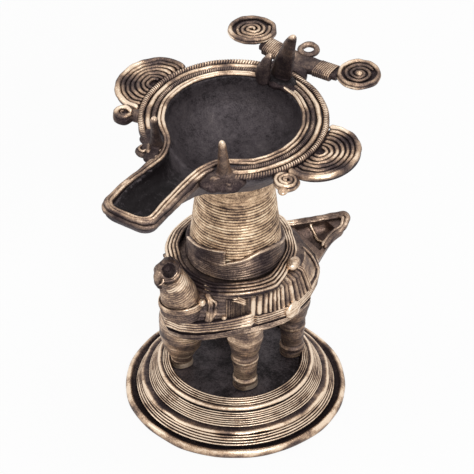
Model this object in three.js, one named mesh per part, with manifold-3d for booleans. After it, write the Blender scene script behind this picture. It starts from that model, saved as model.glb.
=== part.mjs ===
// A cast brass oil lamp in the shape of a peacock that carries a spouted dish.
// Sizes are in millimetres. +Z is up, the spout points along -Y, the crossbar lies
// towards +Y, and left is the bird's left, +X. The origin is on the stem's axis, on the
// surface that the lamp stands on.

import * as THREE from 'three';
import { mergeVertices } from 'three/addons/utils/BufferGeometryUtils.js';
import Module from 'manifold-3d';

const wasm = await Module();
wasm.setup();

// Shared fits and facets
const clearance = 0.3;
const cutClearance = 0.4;
const ringFacets = 26;

// Stand
const standRadius = 50;
const lipWidth = 5.2;
const lipHeight = 4.2;
const standWall = 3;
const standHeight = 16.8;
const standTopRadius = 32;
const floorRadius = 29.2;
const floorThickness = 1.7;
const floorLedge = 3.6;
const lowerCoilTurns = 3;
const lowerCoilHeight = 3.2;
const middleRingHeight = 1.7;
const upperCoilTurns = 5;
const coilDepth = 2.4;
const threadRelief = 0.45;
const topRingWidth = 2.3;
const innerCoilHeight = 2.6;
const innerCoilTurns = 3;

// Legs: foot centres on the stand's floor, and their shapes as radii at shares of the height
const legHeight = 30;
const legFacets = 10;
const legShapes = {
  turned: [[5.2, 0], [5.2, 0.18], [4.8, 0.2], [6.0, 0.58], [6.4, 0.63], [5.8, 0.65], [8.4, 1]],
  bulged: [[4.8, 0], [4.4, 0.13], [5.6, 0.23], [8.6, 0.43], [10.2, 0.67], [10.6, 1]],
};
const legs = [
  { name: 'leg_front_left', foot: [14.1, -13.2], shape: legShapes.turned },
  { name: 'leg_front_right', foot: [-16.6, -18.2], shape: legShapes.bulged },
  { name: 'leg_rear_left', foot: [18.2, 19.0], shape: legShapes.turned },
  { name: 'leg_rear_right', foot: [-14.0, 15.0], shape: legShapes.turned },
];

// Body of the bird, turned about the stem's axis. Its own +Y runs to the tail.
const birdTurn = -20;
const bodyBeam = 34;
const bowLength = 44;
const bowBend = 6.4;
const sternLength = 38;
const sternHalfWidth = 15;
const bellyRise = 15.7;
const bellyBandLevel = 0.62;
const bellyBandSag = 3.4;
const beltHeight = 6;
const beltThickness = 2.2;
const beltTurns = 3;
const bossRadius = 3.1;
const shoulderRise = 10.9;
const shoulderRadius = 30.6;
const deckRise = 1.8;
const deckRadius = 24.6;
const collarThickness = 2.0;
const collarTurns = 3;
const bodyFacets = 28;

// Tail, a hollow tray that narrows to a point
const tailLength = 62;
const tailRootDepth = 12;
const tailTipDepth = 4.5;
const tailRise = 3.4;
const tailWall = 2.2;
const tailFloor = 2.4;
const tailBorderWidth = 3.0;

// Wings, bars laid on the side of the body
const wingBars = 12;
const wingSpan = [0.2, 0.34];
const wingThickness = 1.3;

// Neck and head
const neckBack = -34.3;
const neckSide = 7.7;
const neckRootRadius = 9.7;
const neckTopRadius = 4.9;
const neckHeight = 21;
const neckLean = 7.2;
const headRadius = 5.2;
const eyeRadius = 3.1;
const eyeWire = 0.9;
const beakLength = 8.5;
const necklaceWidth = 1.9;
const necklaceHeight = 4.2;
const necklaceRise = 5.4;

// Stem
const stemHeight = 48.9;
const stemFootRadius = 21.4;
const stemTopRadius = 16.5;
const stemWall = 3.4;
const stemThreads = 7;
const topBandHeight = 11.4;
const topBandThickness = 1.3;
const wrapHeight = 11;
const wrapThickness = 1.2;
const spigotLength = 5;

// Dish. Its centre is a little in front of the stem's axis.
const dishShift = -1.5;
const dishHeight = 25.3;
const dishInnerRadius = 30.2;
const dishOuterRadius = 42.4;
const dishWall = 3.1;
const rimThickness = 2.3;
const rimRise = 1.9;
const rimThreadHeight = 2.0;

// Bands on the rim: start and width as shares of the rim's width
const rimBands = [
  { name: 'rim_inner_band', from: 0.008, width: 0.2295, humps: 2 },
  { name: 'rim_inner_rope', from: 0.262, width: 0.1885, humps: 1 },
  { name: 'rim_plain_thread', from: 0.492, width: 0.213, humps: 1 },
  { name: 'rim_outer_rope', from: 0.738, width: 0.254, humps: 1 },
];
const rimArc = [-53, 238];
const rimSteps = 24;

// Spout stations from the dish to the tip: distance beyond the rim, side walls as outer and
// inner edge, drop of the edge, and depth of floor and underside
const spoutStations = [
  { reach: -20.4, right: [-23.6, -20.6], left: [22.4, 19.4], drop: -0.8, floor: 16.5, under: 20.5 },
  { reach: -14.4, right: [-19.9, -14.7], left: [17.3, 12.1], drop: -1.2, floor: 14.4, under: 18.4 },
  { reach: -9.4, right: [-16.9, -11.8], left: [13.1, 8.0], drop: -0.9, floor: 12.4, under: 16.2 },
  { reach: -3.4, right: [-15.6, -10.5], left: [11.0, 5.9], drop: -0.1, floor: 10.6, under: 14.2 },
  { reach: 7.6, right: [-15.6, -11.5], left: [10.5, 5.3], drop: 1.0, floor: 8.2, under: 11.2 },
  { reach: 19.6, right: [-16.4, -12.9], left: [10.8, 5.7], drop: 2.0, floor: 7.0, under: 9.4 },
  { reach: 29.6, right: [-16.2, -12.7], left: [10.8, 6.6], drop: 3.2, floor: 6.4, under: 8.3 },
  { reach: 34.4, right: [-15.8, -12.4], left: [10.8, 6.6], drop: 3.7, floor: 6.2, under: 7.7 },
  { reach: 36.6, right: [-14.8], left: [9.8], drop: 3.9, floor: 6.2, under: 6.8 },
  { reach: 38.3, right: [-12.6], left: [8.0], drop: 4.0, floor: 6.2, under: 6.2 },
  { reach: 39.0, right: [-9.6], left: [5.6], drop: 4.1, floor: 6.2, under: 5.8 },
];
const edgeThreadRadius = 0.75;
const innerThreadStart = -14.5;
const outerThreadStart = -3.5;

// Ornaments on the dish
const voluteRadius = 18;
const voluteRings = 5;
const voluteThickness = 2.6;
const ornamentTop = 2.2;
const curlRadius = 5.0;
const curlReach = 4.7;
const curlAngle = -28.4;
const spikeHeight = 21;
const spikeRadius = 3.3;
const spikeInset = 3.5;
const spikeAngles = [-61.8, -116.5];
const junctionCurlRadius = 3;
const junctionCurlReach = 2;
const junctionCurlAngles = [-57.6, -119.1];
const hornMountSize = [18.5, 11, 3.2];
const hornMountInset = 8.2;
const tallHornHeight = 21.7;
const shortHornHeight = 9.7;

// Crossbar behind the dish
const crossbarReach = 9.3;
const barDrop = 2.2;
const crossbarHalfLength = 18.6;
const crossbarWidth = 8.6;
const crossbarThickness = 4.2;
const blockWidth = 16.5;
const bindingStart = 9.6;
const bindingLength = 8.2;
const bindingWires = 6;
const bindingThickness = 0.9;
const discCentre = 28.6;
const discBack = 6.3;
const armBend = 0.1;
const discRadius = 10.5;
const discThickness = 2.4;
const discTurns = 3.3;
const discWireRadius = 0.85;
const loopRadius = 3.3;
const loopWireRadius = 1.0;

// Heights that follow from the sizes above
const floorTop = standHeight;
const bodyBottom = floorTop + legHeight;
const beltBottom = bodyBottom + bellyRise;
const beltTop = beltBottom + beltHeight;
const shoulderTop = beltTop + shoulderRise;
const deckTop = shoulderTop + deckRise;
const stemBottom = deckTop + clearance;
const stemTop = stemBottom + stemHeight;
const dishFoot = stemTop + clearance;
const rimLedge = dishFoot + dishHeight;
const boreRadius = stemTopRadius - topBandThickness - stemWall + 0.8;

// Places round the rim that follow from its radii
const rimWidth = dishOuterRadius - dishInnerRadius;
const rimLift = (radius) => (rimRise * (dishOuterRadius - radius)) / rimWidth;
const hornMountBack = dishOuterRadius - hornMountInset;
const crossbarBack = dishShift + dishOuterRadius + crossbarReach;
const around = (radius, degrees) => [
  radius * Math.cos(THREE.MathUtils.degToRad(degrees)),
  radius * Math.sin(THREE.MathUtils.degToRad(degrees)),
];

const brass = (colour, roughness) => new THREE.MeshStandardMaterial({
  color: colour,
  roughness,
  metalness: 0.95,
});
const polished = brass(0xb8966c, 0.34);
const worn = brass(0x8a6b4c, 0.45);
const dark = brass(0x3a2e2a, 0.6);

// Leaves only positions, welds them and drops the triangles that a pole collapses.
function weld(geometry) {
  const bare = new THREE.BufferGeometry();
  bare.setAttribute('position', geometry.getAttribute('position').clone());
  if (geometry.index) bare.setIndex(geometry.index.clone());
  const merged = mergeVertices(bare, 1e-3);
  const index = merged.index.array;
  const kept = [];
  for (let i = 0; i < index.length; i += 3) {
    const [a, b, c] = [index[i], index[i + 1], index[i + 2]];
    if (a !== b && b !== c && c !== a) kept.push(a, b, c);
  }
  merged.setIndex(kept);
  return outward(merged);
}

// Turns the faces of a closed mesh so that its volume is positive.
function outward(geometry) {
  const p = geometry.getAttribute('position');
  const index = Array.from(geometry.index.array);
  const [a, b, c] = [new THREE.Vector3(), new THREE.Vector3(), new THREE.Vector3()];
  let volume = 0;
  for (let i = 0; i < index.length; i += 3) {
    a.fromBufferAttribute(p, index[i]);
    b.fromBufferAttribute(p, index[i + 1]);
    c.fromBufferAttribute(p, index[i + 2]);
    volume += a.dot(b.cross(c)) / 6;
  }
  if (volume < 0) {
    for (let i = 0; i < index.length; i += 3) {
      [index[i], index[i + 1]] = [index[i + 1], index[i]];
    }
  }
  geometry.setIndex(index);
  geometry.computeVertexNormals();
  return geometry;
}

// Turns a profile of [radius, height] points about Z.
function revolve(profile, facets = ringFacets) {
  const points = profile.map(([r, z]) => new THREE.Vector2(r, z));
  if (profile[0][0] > 0) points.push(points[0].clone());
  const lathe = new THREE.LatheGeometry(points, facets);
  lathe.rotateX(Math.PI / 2);
  return weld(lathe);
}

// Skins a row of rings with equal point counts and caps both ends.
function skin(rings) {
  const n = rings[0].length;
  const positions = [];
  const index = [];
  rings.forEach((ring) => ring.forEach((p) => positions.push(p.x, p.y, p.z)));
  for (let k = 0; k + 1 < rings.length; k++) {
    for (let i = 0; i < n; i++) {
      const j = (i + 1) % n;
      index.push(k * n + i, k * n + j, (k + 1) * n + j);
      index.push(k * n + i, (k + 1) * n + j, (k + 1) * n + i);
    }
  }
  [0, rings.length - 1].forEach((k, end) => {
    const centre = new THREE.Vector3();
    rings[k].forEach((p) => centre.addScaledVector(p, 1 / n));
    const hub = positions.length / 3;
    positions.push(centre.x, centre.y, centre.z);
    for (let i = 0; i < n; i++) {
      const j = (i + 1) % n;
      if (end) index.push(hub, k * n + i, k * n + j);
      else index.push(hub, k * n + j, k * n + i);
    }
  });
  const geometry = new THREE.BufferGeometry();
  geometry.setAttribute('position', new THREE.Float32BufferAttribute(positions, 3));
  geometry.setIndex(index);
  return outward(geometry);
}

// Carries a flat section of [outward, upward] points along a path; scale tapers it.
function sweep(path, section, scale = () => 1) {
  const up = new THREE.Vector3(0, 0, 1);
  return skin(path.map((p, i) => {
    const ahead = path[Math.min(i + 1, path.length - 1)];
    const behind = path[Math.max(i - 1, 0)];
    const tangent = ahead.clone().sub(behind).normalize();
    const side = tangent.clone().cross(up).normalize();
    const rise = side.clone().cross(tangent);
    const k = scale(i / (path.length - 1));
    return section.map(([n, b]) => p.clone().addScaledVector(side, n * k).addScaledVector(rise, b * k));
  }));
}

// A round wire along a smooth curve.
function wire(curve, radius, sides, steps) {
  const section = new THREE.Shape();
  for (let i = 0; i < sides; i++) {
    const a = (i / sides) * Math.PI * 2;
    const [x, y] = [radius * Math.cos(a), radius * Math.sin(a)];
    if (i) section.lineTo(x, y);
    else section.moveTo(x, y);
  }
  section.closePath();
  return weld(new THREE.ExtrudeGeometry(section, { steps, extrudePath: curve, bevelEnabled: false }));
}

// A round horn with a bent centre line: stations of [x, y, z, half width, half depth].
function horn(stations, facets = 8) {
  return skin(stations.map(([x, y, z, a, b]) => circlePoints(facets, (angle) => new THREE.Vector3(
    x + a * Math.cos(angle), y + b * Math.sin(angle), z,
  ))));
}

function circlePoints(count, place) {
  return Array.from({ length: count }, (_, i) => place((i / count) * Math.PI * 2));
}

function toSolid(geometry) {
  return new wasm.Manifold(new wasm.Mesh({
    numProp: 3,
    vertProperties: new Float32Array(geometry.getAttribute('position').array),
    triVerts: new Uint32Array(geometry.index.array),
  }));
}

function fromSolid(body) {
  const mesh = body.getMesh();
  const geometry = new THREE.BufferGeometry();
  geometry.setAttribute('position', new THREE.Float32BufferAttribute(Array.from(mesh.vertProperties), 3));
  geometry.setIndex(Array.from(mesh.triVerts));
  geometry.computeVertexNormals();
  return geometry;
}

function cut(geometry, ...tools) {
  return fromSolid(tools.reduce((body, tool) => body.subtract(toSolid(tool)), toSolid(geometry)));
}

function join(...parts) {
  return fromSolid(parts.slice(1).reduce((body, part) => body.add(toSolid(part)), toSolid(parts[0])));
}

function moved(geometry, x, y, z) {
  return geometry.clone().translate(x, y, z);
}

// A band of wound threads: straight inner face, crests on the outer line.
function woundProfile(inner, outer, turns, relief = threadRelief) {
  const [[r0, z0], [r1, z1]] = outer;
  const length = Math.hypot(r1 - r0, z1 - z0);
  const normal = [(z1 - z0) / length, (r0 - r1) / length];
  const profile = [inner[0]];
  for (let i = 0; i <= 2 * turns; i++) {
    const f = i / (2 * turns);
    const inset = i % 2 ? 0 : relief;
    profile.push([r0 + (r1 - r0) * f - normal[0] * inset, z0 + (z1 - z0) * f - normal[1] * inset]);
  }
  profile.push(inner[1]);
  return profile;
}

const lamp = new THREE.Group();

function put(group, name, geometry, material, position = [0, 0, 0], rotationZ = 0) {
  const mesh = new THREE.Mesh(geometry, material);
  mesh.name = name;
  mesh.position.set(...position);
  mesh.rotation.z = rotationZ;
  group.add(mesh);
  return mesh;
}

// The stand's cone: its outer radius at a height.
const coneFootRadius = standRadius - lipWidth - clearance - coilDepth;
const slope = (coneFootRadius - standTopRadius) / (standHeight - lipHeight);
const coneRadius = (z) => coneFootRadius - slope * (z - lipHeight);

function standShell() {
  const foot = standRadius - lipWidth - clearance;
  const under = standHeight - floorThickness - clearance;
  const bed = floorRadius + clearance;
  const roof = under - standWall + 1;
  return revolve([
    [foot, 0], [foot, lipHeight - 1.7], [coneFootRadius, lipHeight],
    [standTopRadius, standHeight], [bed, standHeight], [bed, under],
    [bed - floorLedge, under], [bed - floorLedge, roof],
    [coneRadius(roof) - standWall * 1.3, roof],
    [coneFootRadius - standWall * 1.3, lipHeight], [foot - standWall, 0],
  ]);
}

function standFloor() {
  const bottom = standHeight - floorThickness;
  return revolve([[0, bottom], [floorRadius, bottom], [floorRadius, standHeight], [0, standHeight]]);
}

function lipRing() {
  const inner = standRadius - lipWidth;
  const h = lipHeight;
  return revolve([
    [inner, 0], [standRadius - 0.9, 0], [standRadius, h * 0.35], [standRadius - 0.5, h * 0.72],
    [standRadius - 2.2, h], [inner + 1.3, h * 0.86], [inner, h * 0.5],
  ]);
}

function lowerCoil() {
  const z0 = lipHeight + 0.2;
  const z1 = z0 + lowerCoilHeight;
  return revolve(woundProfile(
    [[coneRadius(z0) + clearance, z0], [coneRadius(z1) + clearance, z1]],
    [[coneRadius(z0) + coilDepth, z0], [coneRadius(z1) + coilDepth + 0.5, z1]],
    lowerCoilTurns,
  ));
}

const middleRingBottom = lipHeight + 0.2 + lowerCoilHeight + clearance;

function middleRing() {
  const z0 = middleRingBottom;
  const z1 = z0 + middleRingHeight;
  const outer = coneRadius(z0) + coilDepth + 0.7;
  return revolve([
    [coneRadius(z0) + clearance, z0], [outer - 0.7, z0], [outer, z0 + middleRingHeight * 0.45],
    [outer - 0.9, z1], [coneRadius(z1) + clearance, z1],
  ]);
}

const upperCoilTop = standHeight - 1.3;

function upperCoil() {
  const z0 = middleRingBottom + middleRingHeight + clearance;
  const z1 = upperCoilTop;
  return revolve(woundProfile(
    [[coneRadius(z0) + clearance, z0], [coneRadius(z1) + clearance, z1]],
    [[coneRadius(z0) + coilDepth * 0.85, z0], [coneRadius(z1) + coilDepth * 0.95, z1]],
    upperCoilTurns,
  ));
}

const topRingBottom = upperCoilTop + clearance;

function topRing() {
  const z0 = topRingBottom;
  const inner = coneRadius(z0) + clearance + 0.2;
  const outer = inner + topRingWidth;
  return revolve([
    [inner, z0], [outer - 0.4, z0 + 0.1], [outer, z0 + 0.9], [outer - 0.6, z0 + 1.9],
    [inner + 0.3, z0 + 2.1], [inner - 0.4, z0 + 1.6],
  ]);
}

function innerCoil() {
  const z0 = standHeight + clearance;
  const inner = floorRadius + clearance + 0.5;
  const outer = coneRadius(topRingBottom) - 0.3;
  return revolve(woundProfile(
    [[inner, z0], [inner, z0 + innerCoilHeight]],
    [[outer - 0.5, z0 + 0.9], [inner + 0.6, z0 + innerCoilHeight]],
    innerCoilTurns, 0.3,
  ).toSpliced(1, 0, [outer - 1.0, z0]));
}

function buildStand() {
  const stand = new THREE.Group();
  put(stand, 'base_shell', standShell(), dark);
  put(stand, 'base_floor', standFloor(), dark);
  put(stand, 'base_lip_ring', lipRing(), polished);
  put(stand, 'base_lower_coil', lowerCoil(), worn);
  put(stand, 'base_middle_ring', middleRing(), polished);
  put(stand, 'base_upper_coil', upperCoil(), worn);
  put(stand, 'base_top_ring', topRing(), polished);
  put(stand, 'base_inner_coil', innerCoil(), worn);
  lamp.add(stand);
}

// Plan outline of the body at the belt, closed, in the bird's own frame.
const outlineCurve = new THREE.CatmullRomCurve3([
  [0, -bowLength], [bodyBeam * 0.33, -bowLength * 0.88], [bodyBeam * 0.53, -bowLength * 0.69],
  [bodyBeam * 0.84, -bowLength * 0.25], [bodyBeam, 4], [bodyBeam * 0.95, sternLength * 0.44],
  [bodyBeam * 0.72, sternLength * 0.78], [sternHalfWidth, sternLength * 0.96], [0, sternLength],
  [-sternHalfWidth, sternLength * 0.96], [-bodyBeam * 0.72, sternLength * 0.78],
  [-bodyBeam * 0.95, sternLength * 0.44], [-bodyBeam, 4], [-bodyBeam * 0.84, -bowLength * 0.25],
  [-bodyBeam * 0.53, -bowLength * 0.69], [-bodyBeam * 0.33, -bowLength * 0.88],
].map(([x, y]) => new THREE.Vector3(x + bowBend * Math.max(0, -y / bowLength) ** 1.2, y, 0)),
true, 'centripetal');

function outline(inset, count) {
  const raw = outlineCurve.getSpacedPoints(count).slice(0, count);
  return raw.map((p, i) => {
    const tangent = raw[(i + 1) % count].clone().sub(raw[(i + count - 1) % count]).normalize();
    return new THREE.Vector3(p.x - tangent.y * inset, p.y + tangent.x * inset, 0);
  });
}

// Horizontal sections of the body; grow makes the cutter that seats other pieces on it.
function bodyRings(grow = 0) {
  const inset = beltThickness + clearance;
  const level = (z, size, circle = 0, radius = 0) => outline(inset, bodyFacets).map((p) => {
    const angle = Math.atan2(p.y, p.x);
    const x = THREE.MathUtils.lerp(p.x * size, radius * Math.cos(angle), circle);
    const y = THREE.MathUtils.lerp((p.y + 4) * size - 4, radius * Math.sin(angle), circle);
    const r = Math.hypot(x, y);
    return new THREE.Vector3(x * (1 + grow / r), y * (1 + grow / r), z);
  });
  const belly = bellyRise;
  return [
    level(bodyBottom - grow, 0.36), level(bodyBottom + belly * 0.1, 0.56),
    level(bodyBottom + belly * 0.3, 0.78), level(bodyBottom + belly * 0.62, 0.94),
    level(beltBottom - 0.3, 1), level(beltTop + 0.3, 1),
    level(beltTop + shoulderRise * 0.5, 1, 0.45, shoulderRadius),
    level(shoulderTop, 1, 1, shoulderRadius), level(deckTop + grow, 1, 1, deckRadius),
  ];
}

function beltPath(inset, from, to, count, z) {
  const points = outline(inset, 72);
  const path = [];
  for (let i = 0; i <= count; i++) {
    const f = from + ((to - from) * i) / count;
    const k = ((f * 72) % 72 + 72) % 72;
    const [a, b] = [points[Math.floor(k) % 72], points[(Math.floor(k) + 1) % 72]];
    path.push(a.clone().lerp(b, k - Math.floor(k)).setZ(z));
  }
  return path;
}

// Wound threads laid in a band: outward crests, flat back.
function threadSection(thickness, height, turns, relief = threadRelief) {
  const section = [[0, -height / 2]];
  for (let i = 0; i <= 2 * turns; i++) {
    section.push([thickness - (i % 2 ? 0 : relief), -height / 2 + (height * i) / (2 * turns)]);
  }
  section.push([0, height / 2]);
  return section;
}

const beltSpan = 0.385;

function belt() {
  const path = beltPath(beltThickness, -beltSpan, beltSpan, 28, beltBottom + beltHeight / 2);
  return sweep(path, threadSection(beltThickness, beltHeight, beltTurns));
}

function bellyBand(body) {
  const z = bodyBottom + bellyRise * bellyBandLevel + bellyBandSag / 2;
  const path = beltPath(beltThickness + 1.6, -0.26, 0.26, 16, z);
  path.forEach((p, i) => p.setZ(z - bellyBandSag * Math.sin((i / 16) * Math.PI) ** 2));
  return cut(sweep(path, threadSection(1.6, 3.4, 1)), body);
}

function backCollar(tools) {
  const drop = deckRise;
  const inner = deckRadius + 0.5;
  const outer = shoulderRadius + 0.4;
  const z0 = deckTop + cutClearance;
  const profile = woundProfile(
    [[outer - 0.6, z0 - drop - 0.1], [inner, z0]],
    [[outer, z0 - drop + 0.9], [inner, z0 + collarThickness]],
    collarTurns, 0.5,
  );
  return cut(revolve(profile, ringFacets), ...tools);
}

// One wing: bars standing side by side on the flank between the belt and the collar.
function wing(side, body, tools) {
  const z0 = beltTop + clearance;
  const z1 = shoulderTop - 0.6;
  const columns = 2 * wingBars + 1;
  const low = beltPath(beltThickness + clearance, side * wingSpan[0], side * wingSpan[1], columns - 1, z0);
  const rings = low.map((p, i) => {
    const relief = i % 2 ? wingThickness : wingThickness - 0.6;
    const angle = Math.atan2(p.y, p.x);
    const direction = new THREE.Vector3(Math.cos(angle), Math.sin(angle), 0);
    const top = direction.clone().multiplyScalar(shoulderRadius).setZ(z1);
    const inward = direction.clone().multiplyScalar(-2.2);
    return [
      p.clone().add(inward), p.clone().addScaledVector(direction, relief),
      top.clone().addScaledVector(direction, relief), top.clone().add(inward),
    ];
  });
  return cut(skin(rings), body, ...tools);
}

const tailHalfWidth = (y) => {
  const f = THREE.MathUtils.clamp((tailLength - y) / (tailLength - sternLength), 0, 1.2);
  return sternHalfWidth * (0.1 + 0.9 * f) - 1.2;
};
const tailEdge = (y) => beltTop + tailRise * THREE.MathUtils.clamp(
  (y - sternLength) / (tailLength - sternLength), 0, 1,
);
const tailAt = (share) => THREE.MathUtils.lerp(sternLength, tailLength, share);
const tailRoot = tailAt(-0.25);
const tailDepth = (y) => THREE.MathUtils.lerp(
  tailRootDepth, tailTipDepth, (y - tailRoot) / (tailLength - tailRoot),
);

function tailTray(body) {
  const shell = skin([-0.25, 0, 0.33, 0.67, 0.94].map(tailAt).map((y) => {
    const w = tailHalfWidth(y);
    const depth = tailDepth(y);
    const z = tailEdge(y);
    return [[-w, 0], [-w * 0.9, -depth * 0.45], [-w * 0.45, -depth], [w * 0.45, -depth],
      [w * 0.9, -depth * 0.45], [w, 0]].map(([x, dz]) => new THREE.Vector3(x, y, z + dz));
  }));
  const hollow = [0.06, 0.37, 0.63].map(tailAt).map((y) => {
    const w = tailHalfWidth(y) - tailWall;
    const depth = tailDepth(y) - tailFloor;
    const z = tailEdge(y);
    return [[-w, 2], [-w, -depth * 0.4], [-w * 0.5, -depth], [w * 0.5, -depth],
      [w, -depth * 0.4], [w, 2]].map(([x, dz]) => new THREE.Vector3(x, y, z + dz));
  });
  return cut(shell, skin(hollow), body);
}

function tailBorder(body) {
  const ys = [-0.02, 0.21, 0.46, 0.71, 0.875].map(tailAt);
  const w = tailBorderWidth;
  const strip = (side) => {
    const path = ys.map((y) => new THREE.Vector3(side * tailHalfWidth(y), y, tailEdge(y) + clearance));
    path.push(new THREE.Vector3(side * 0.9, tailLength - 0.4, tailEdge(tailLength) + clearance));
    const section = [[0, 0], [0, 0.9], [-w * 0.25, 1.5], [-w * 0.5, 0.9], [-w * 0.75, 1.5],
      [-w, 0.9], [-w, 0]];
    return sweep(path, section.map(([n, b]) => [side * n, b]), (f) => (f > 0.7 ? 0.7 : 1));
  };
  return cut(join(strip(1), strip(-1)), body);
}

function tailRib(side) {
  const ys = [0.167, 0.354, 0.542].map(tailAt);
  const w = tailHalfWidth(ys[0]) - tailWall - 1.2;
  const path = [0.42, 0.36, 0.24].map((spread, i) => new THREE.Vector3(
    side * w * spread, ys[i], tailEdge(ys[i]) - tailDepth(ys[i]) + tailFloor + 2.4,
  ));
  return sweep(path, [[-0.8, -1.2], [0.8, -1.2], [0.8, 0.2], [0, 0.9], [-0.8, 0.2]]);
}

// Neck: a wound cone that leans forward over the bow.
const neckBottom = beltTop + clearance;
const neckTop = beltTop + 3 + neckHeight;
const neckAt = (f) => ({
  y: neckBack - neckLean * f ** 1.35,
  z: neckBottom + (neckTop - neckBottom) * f,
  r: THREE.MathUtils.lerp(neckRootRadius, neckTopRadius, f ** 1.25),
});

const necklaceSeat = () => neckAt(necklaceRise / (neckTop - neckBottom));

function neckRings(grow = 0) {
  const rings = [];
  for (let i = 0; i <= 6; i++) {
    const { y, z, r } = neckAt(i / 6);
    const crest = i % 2 ? 0.35 : 0;
    const tilt = (i / 6) * 0.42;
    rings.push(circlePoints(12, (a) => new THREE.Vector3(
      neckSide + (r + crest + grow) * Math.cos(a),
      y + (r + crest + grow) * Math.sin(a) * Math.cos(tilt),
      z + (r + grow) * Math.sin(a) * Math.sin(tilt),
    )));
  }
  return rings;
}

const headCentre = new THREE.Vector3(neckSide, neckBack - neckLean - 1.6, neckTop + headRadius * 0.75);

function headSolid(grow = 0) {
  const ball = new THREE.SphereGeometry(headRadius + grow, 10, 8);
  ball.rotateX(Math.PI / 2);
  ball.scale(0.95, 1.12, 0.95);
  ball.translate(headCentre.x, headCentre.y, headCentre.z);
  return weld(ball);
}

function eyeRing(side, head) {
  const ring = revolve([
    [eyeRadius - eyeWire, -eyeWire], [eyeRadius + eyeWire, -eyeWire],
    [eyeRadius, eyeWire],
  ], 12);
  ring.rotateY(side * Math.PI / 2);
  ring.translate(headCentre.x + side * (headRadius * 0.95 + 0.2), headCentre.y - 0.6, headCentre.z + 0.6);
  return cut(ring, head);
}

function beak(tools) {
  const { x, y, z } = headCentre;
  const front = y - headRadius * 0.75;
  return cut(horn([
    [x, front - 2.6, z - beakLength, 0.5, 0.5], [x, front - 2.9, z - beakLength * 0.66, 1.4, 1.3],
    [x, front - 2.2, z - beakLength * 0.33, 2.2, 2.0], [x, front - 1.2, z, 2.7, 2.6],
    [x, front, z + 1.8, 2.2, 2.2],
  ]), ...tools);
}

function necklace(tools) {
  const at = necklaceSeat();
  const inner = at.r + cutClearance + 0.3;
  const ring = revolve(woundProfile(
    [[inner, -necklaceHeight / 2], [inner, necklaceHeight / 2]],
    [[inner + necklaceWidth, -necklaceHeight / 2], [inner + necklaceWidth, necklaceHeight / 2]], 2,
  ), 18);
  ring.translate(neckSide, at.y, at.z);
  return cut(ring, ...tools);
}

function bead(radius, x, y, z, tools) {
  const ball = new THREE.SphereGeometry(radius, 8, 5);
  ball.rotateX(Math.PI / 2);
  ball.translate(x, y, z);
  return cut(weld(ball), ...tools);
}

function buildBird() {
  const bird = new THREE.Group();
  bird.rotation.z = THREE.MathUtils.degToRad(birdTurn);
  const body = skin(bodyRings());
  const bodyCut = skin(bodyRings(cutClearance));
  const neck = cut(skin(neckRings()), bodyCut, headSolid(cutClearance));
  const neckCut = skin(neckRings(cutClearance));
  const headCut = headSolid(cutClearance);
  const chain = necklace([bodyCut, neckCut]);
  const boss = bead(bossRadius, bodyBeam + clearance + 0.3, 8.4, beltTop - 2,
    [skin(bodyRings(beltThickness + 0.9))]);
  put(bird, 'body_shell', body, worn);
  put(bird, 'belly_band', bellyBand(bodyCut), worn);
  put(bird, 'belt', belt(), polished);
  put(bird, 'belt_boss', boss, polished);
  const necklaceCut = (() => {
    const at = necklaceSeat();
    const r = at.r + necklaceWidth + 1.4;
    const h = necklaceHeight / 2 + cutClearance;
    return revolve([[0, -h], [r, -h], [r, h], [0, h]], 24).translate(neckSide, at.y, at.z);
  })();
  put(bird, 'back_collar', backCollar([bodyCut, neckCut, necklaceCut]), polished);
  put(bird, 'left_wing', wing(1, bodyCut, []), worn);
  put(bird, 'right_wing', wing(-1, bodyCut, []), worn);
  put(bird, 'tail_tray', tailTray(bodyCut), dark);
  put(bird, 'tail_border', tailBorder(bodyCut), polished);
  put(bird, 'tail_rib_left', tailRib(1), worn);
  put(bird, 'tail_rib_right', tailRib(-1), worn);
  put(bird, 'neck', neck, polished);
  put(bird, 'necklace', chain, polished);
  put(bird, 'head', headSolid(), worn);
  put(bird, 'beak', beak([headCut, neckCut]), worn);
  put(bird, 'left_eye', eyeRing(1, headCut), polished);
  put(bird, 'right_eye', eyeRing(-1, headCut), polished);
  lamp.add(bird);
}

function buildLegs() {
  const group = new THREE.Group();
  const base = floorTop + clearance;
  group.position.z = base;
  const top = legHeight + bellyRise * 0.75;
  legs.forEach(({ name, foot: [x, y], shape }) => {
    const profile = [[0, 0], ...shape.map(([r, share]) => [r, share * legHeight])];
    profile.push([shape.at(-1)[0], top], [0, top]);
    const tools = [skin(bodyRings(cutClearance)), bandCutter()].map((tool) => tool
      .rotateZ(THREE.MathUtils.degToRad(birdTurn)));
    tools.push(coilRoom());
    const leg = cut(revolve(profile, legFacets), ...tools.map((tool) => tool.translate(-x, -y, -base)));
    put(group, name, leg, worn, [x, y, 0]);
  });
  lamp.add(group);
}

// Room for the coil round the floor, where a leg stands close to it.
function coilRoom() {
  const inner = floorRadius + 0.5;
  const top = standHeight + innerCoilHeight + 2 * clearance;
  return revolve([[inner, 0], [standRadius, 0], [standRadius, top], [inner, top]]);
}

// Room for the belly band and everything above it.
function bandCutter() {
  const z0 = bodyBottom + bellyRise * bellyBandLevel - bellyBandSag - 1;
  const ring = (z) => outline(-6, bodyFacets).map((p) => p.clone().setZ(z));
  return skin([ring(z0), ring(z0 + bellyRise)]);
}

const stemRadius = (z) => THREE.MathUtils.lerp(stemFootRadius, stemTopRadius, z / stemHeight);

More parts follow.
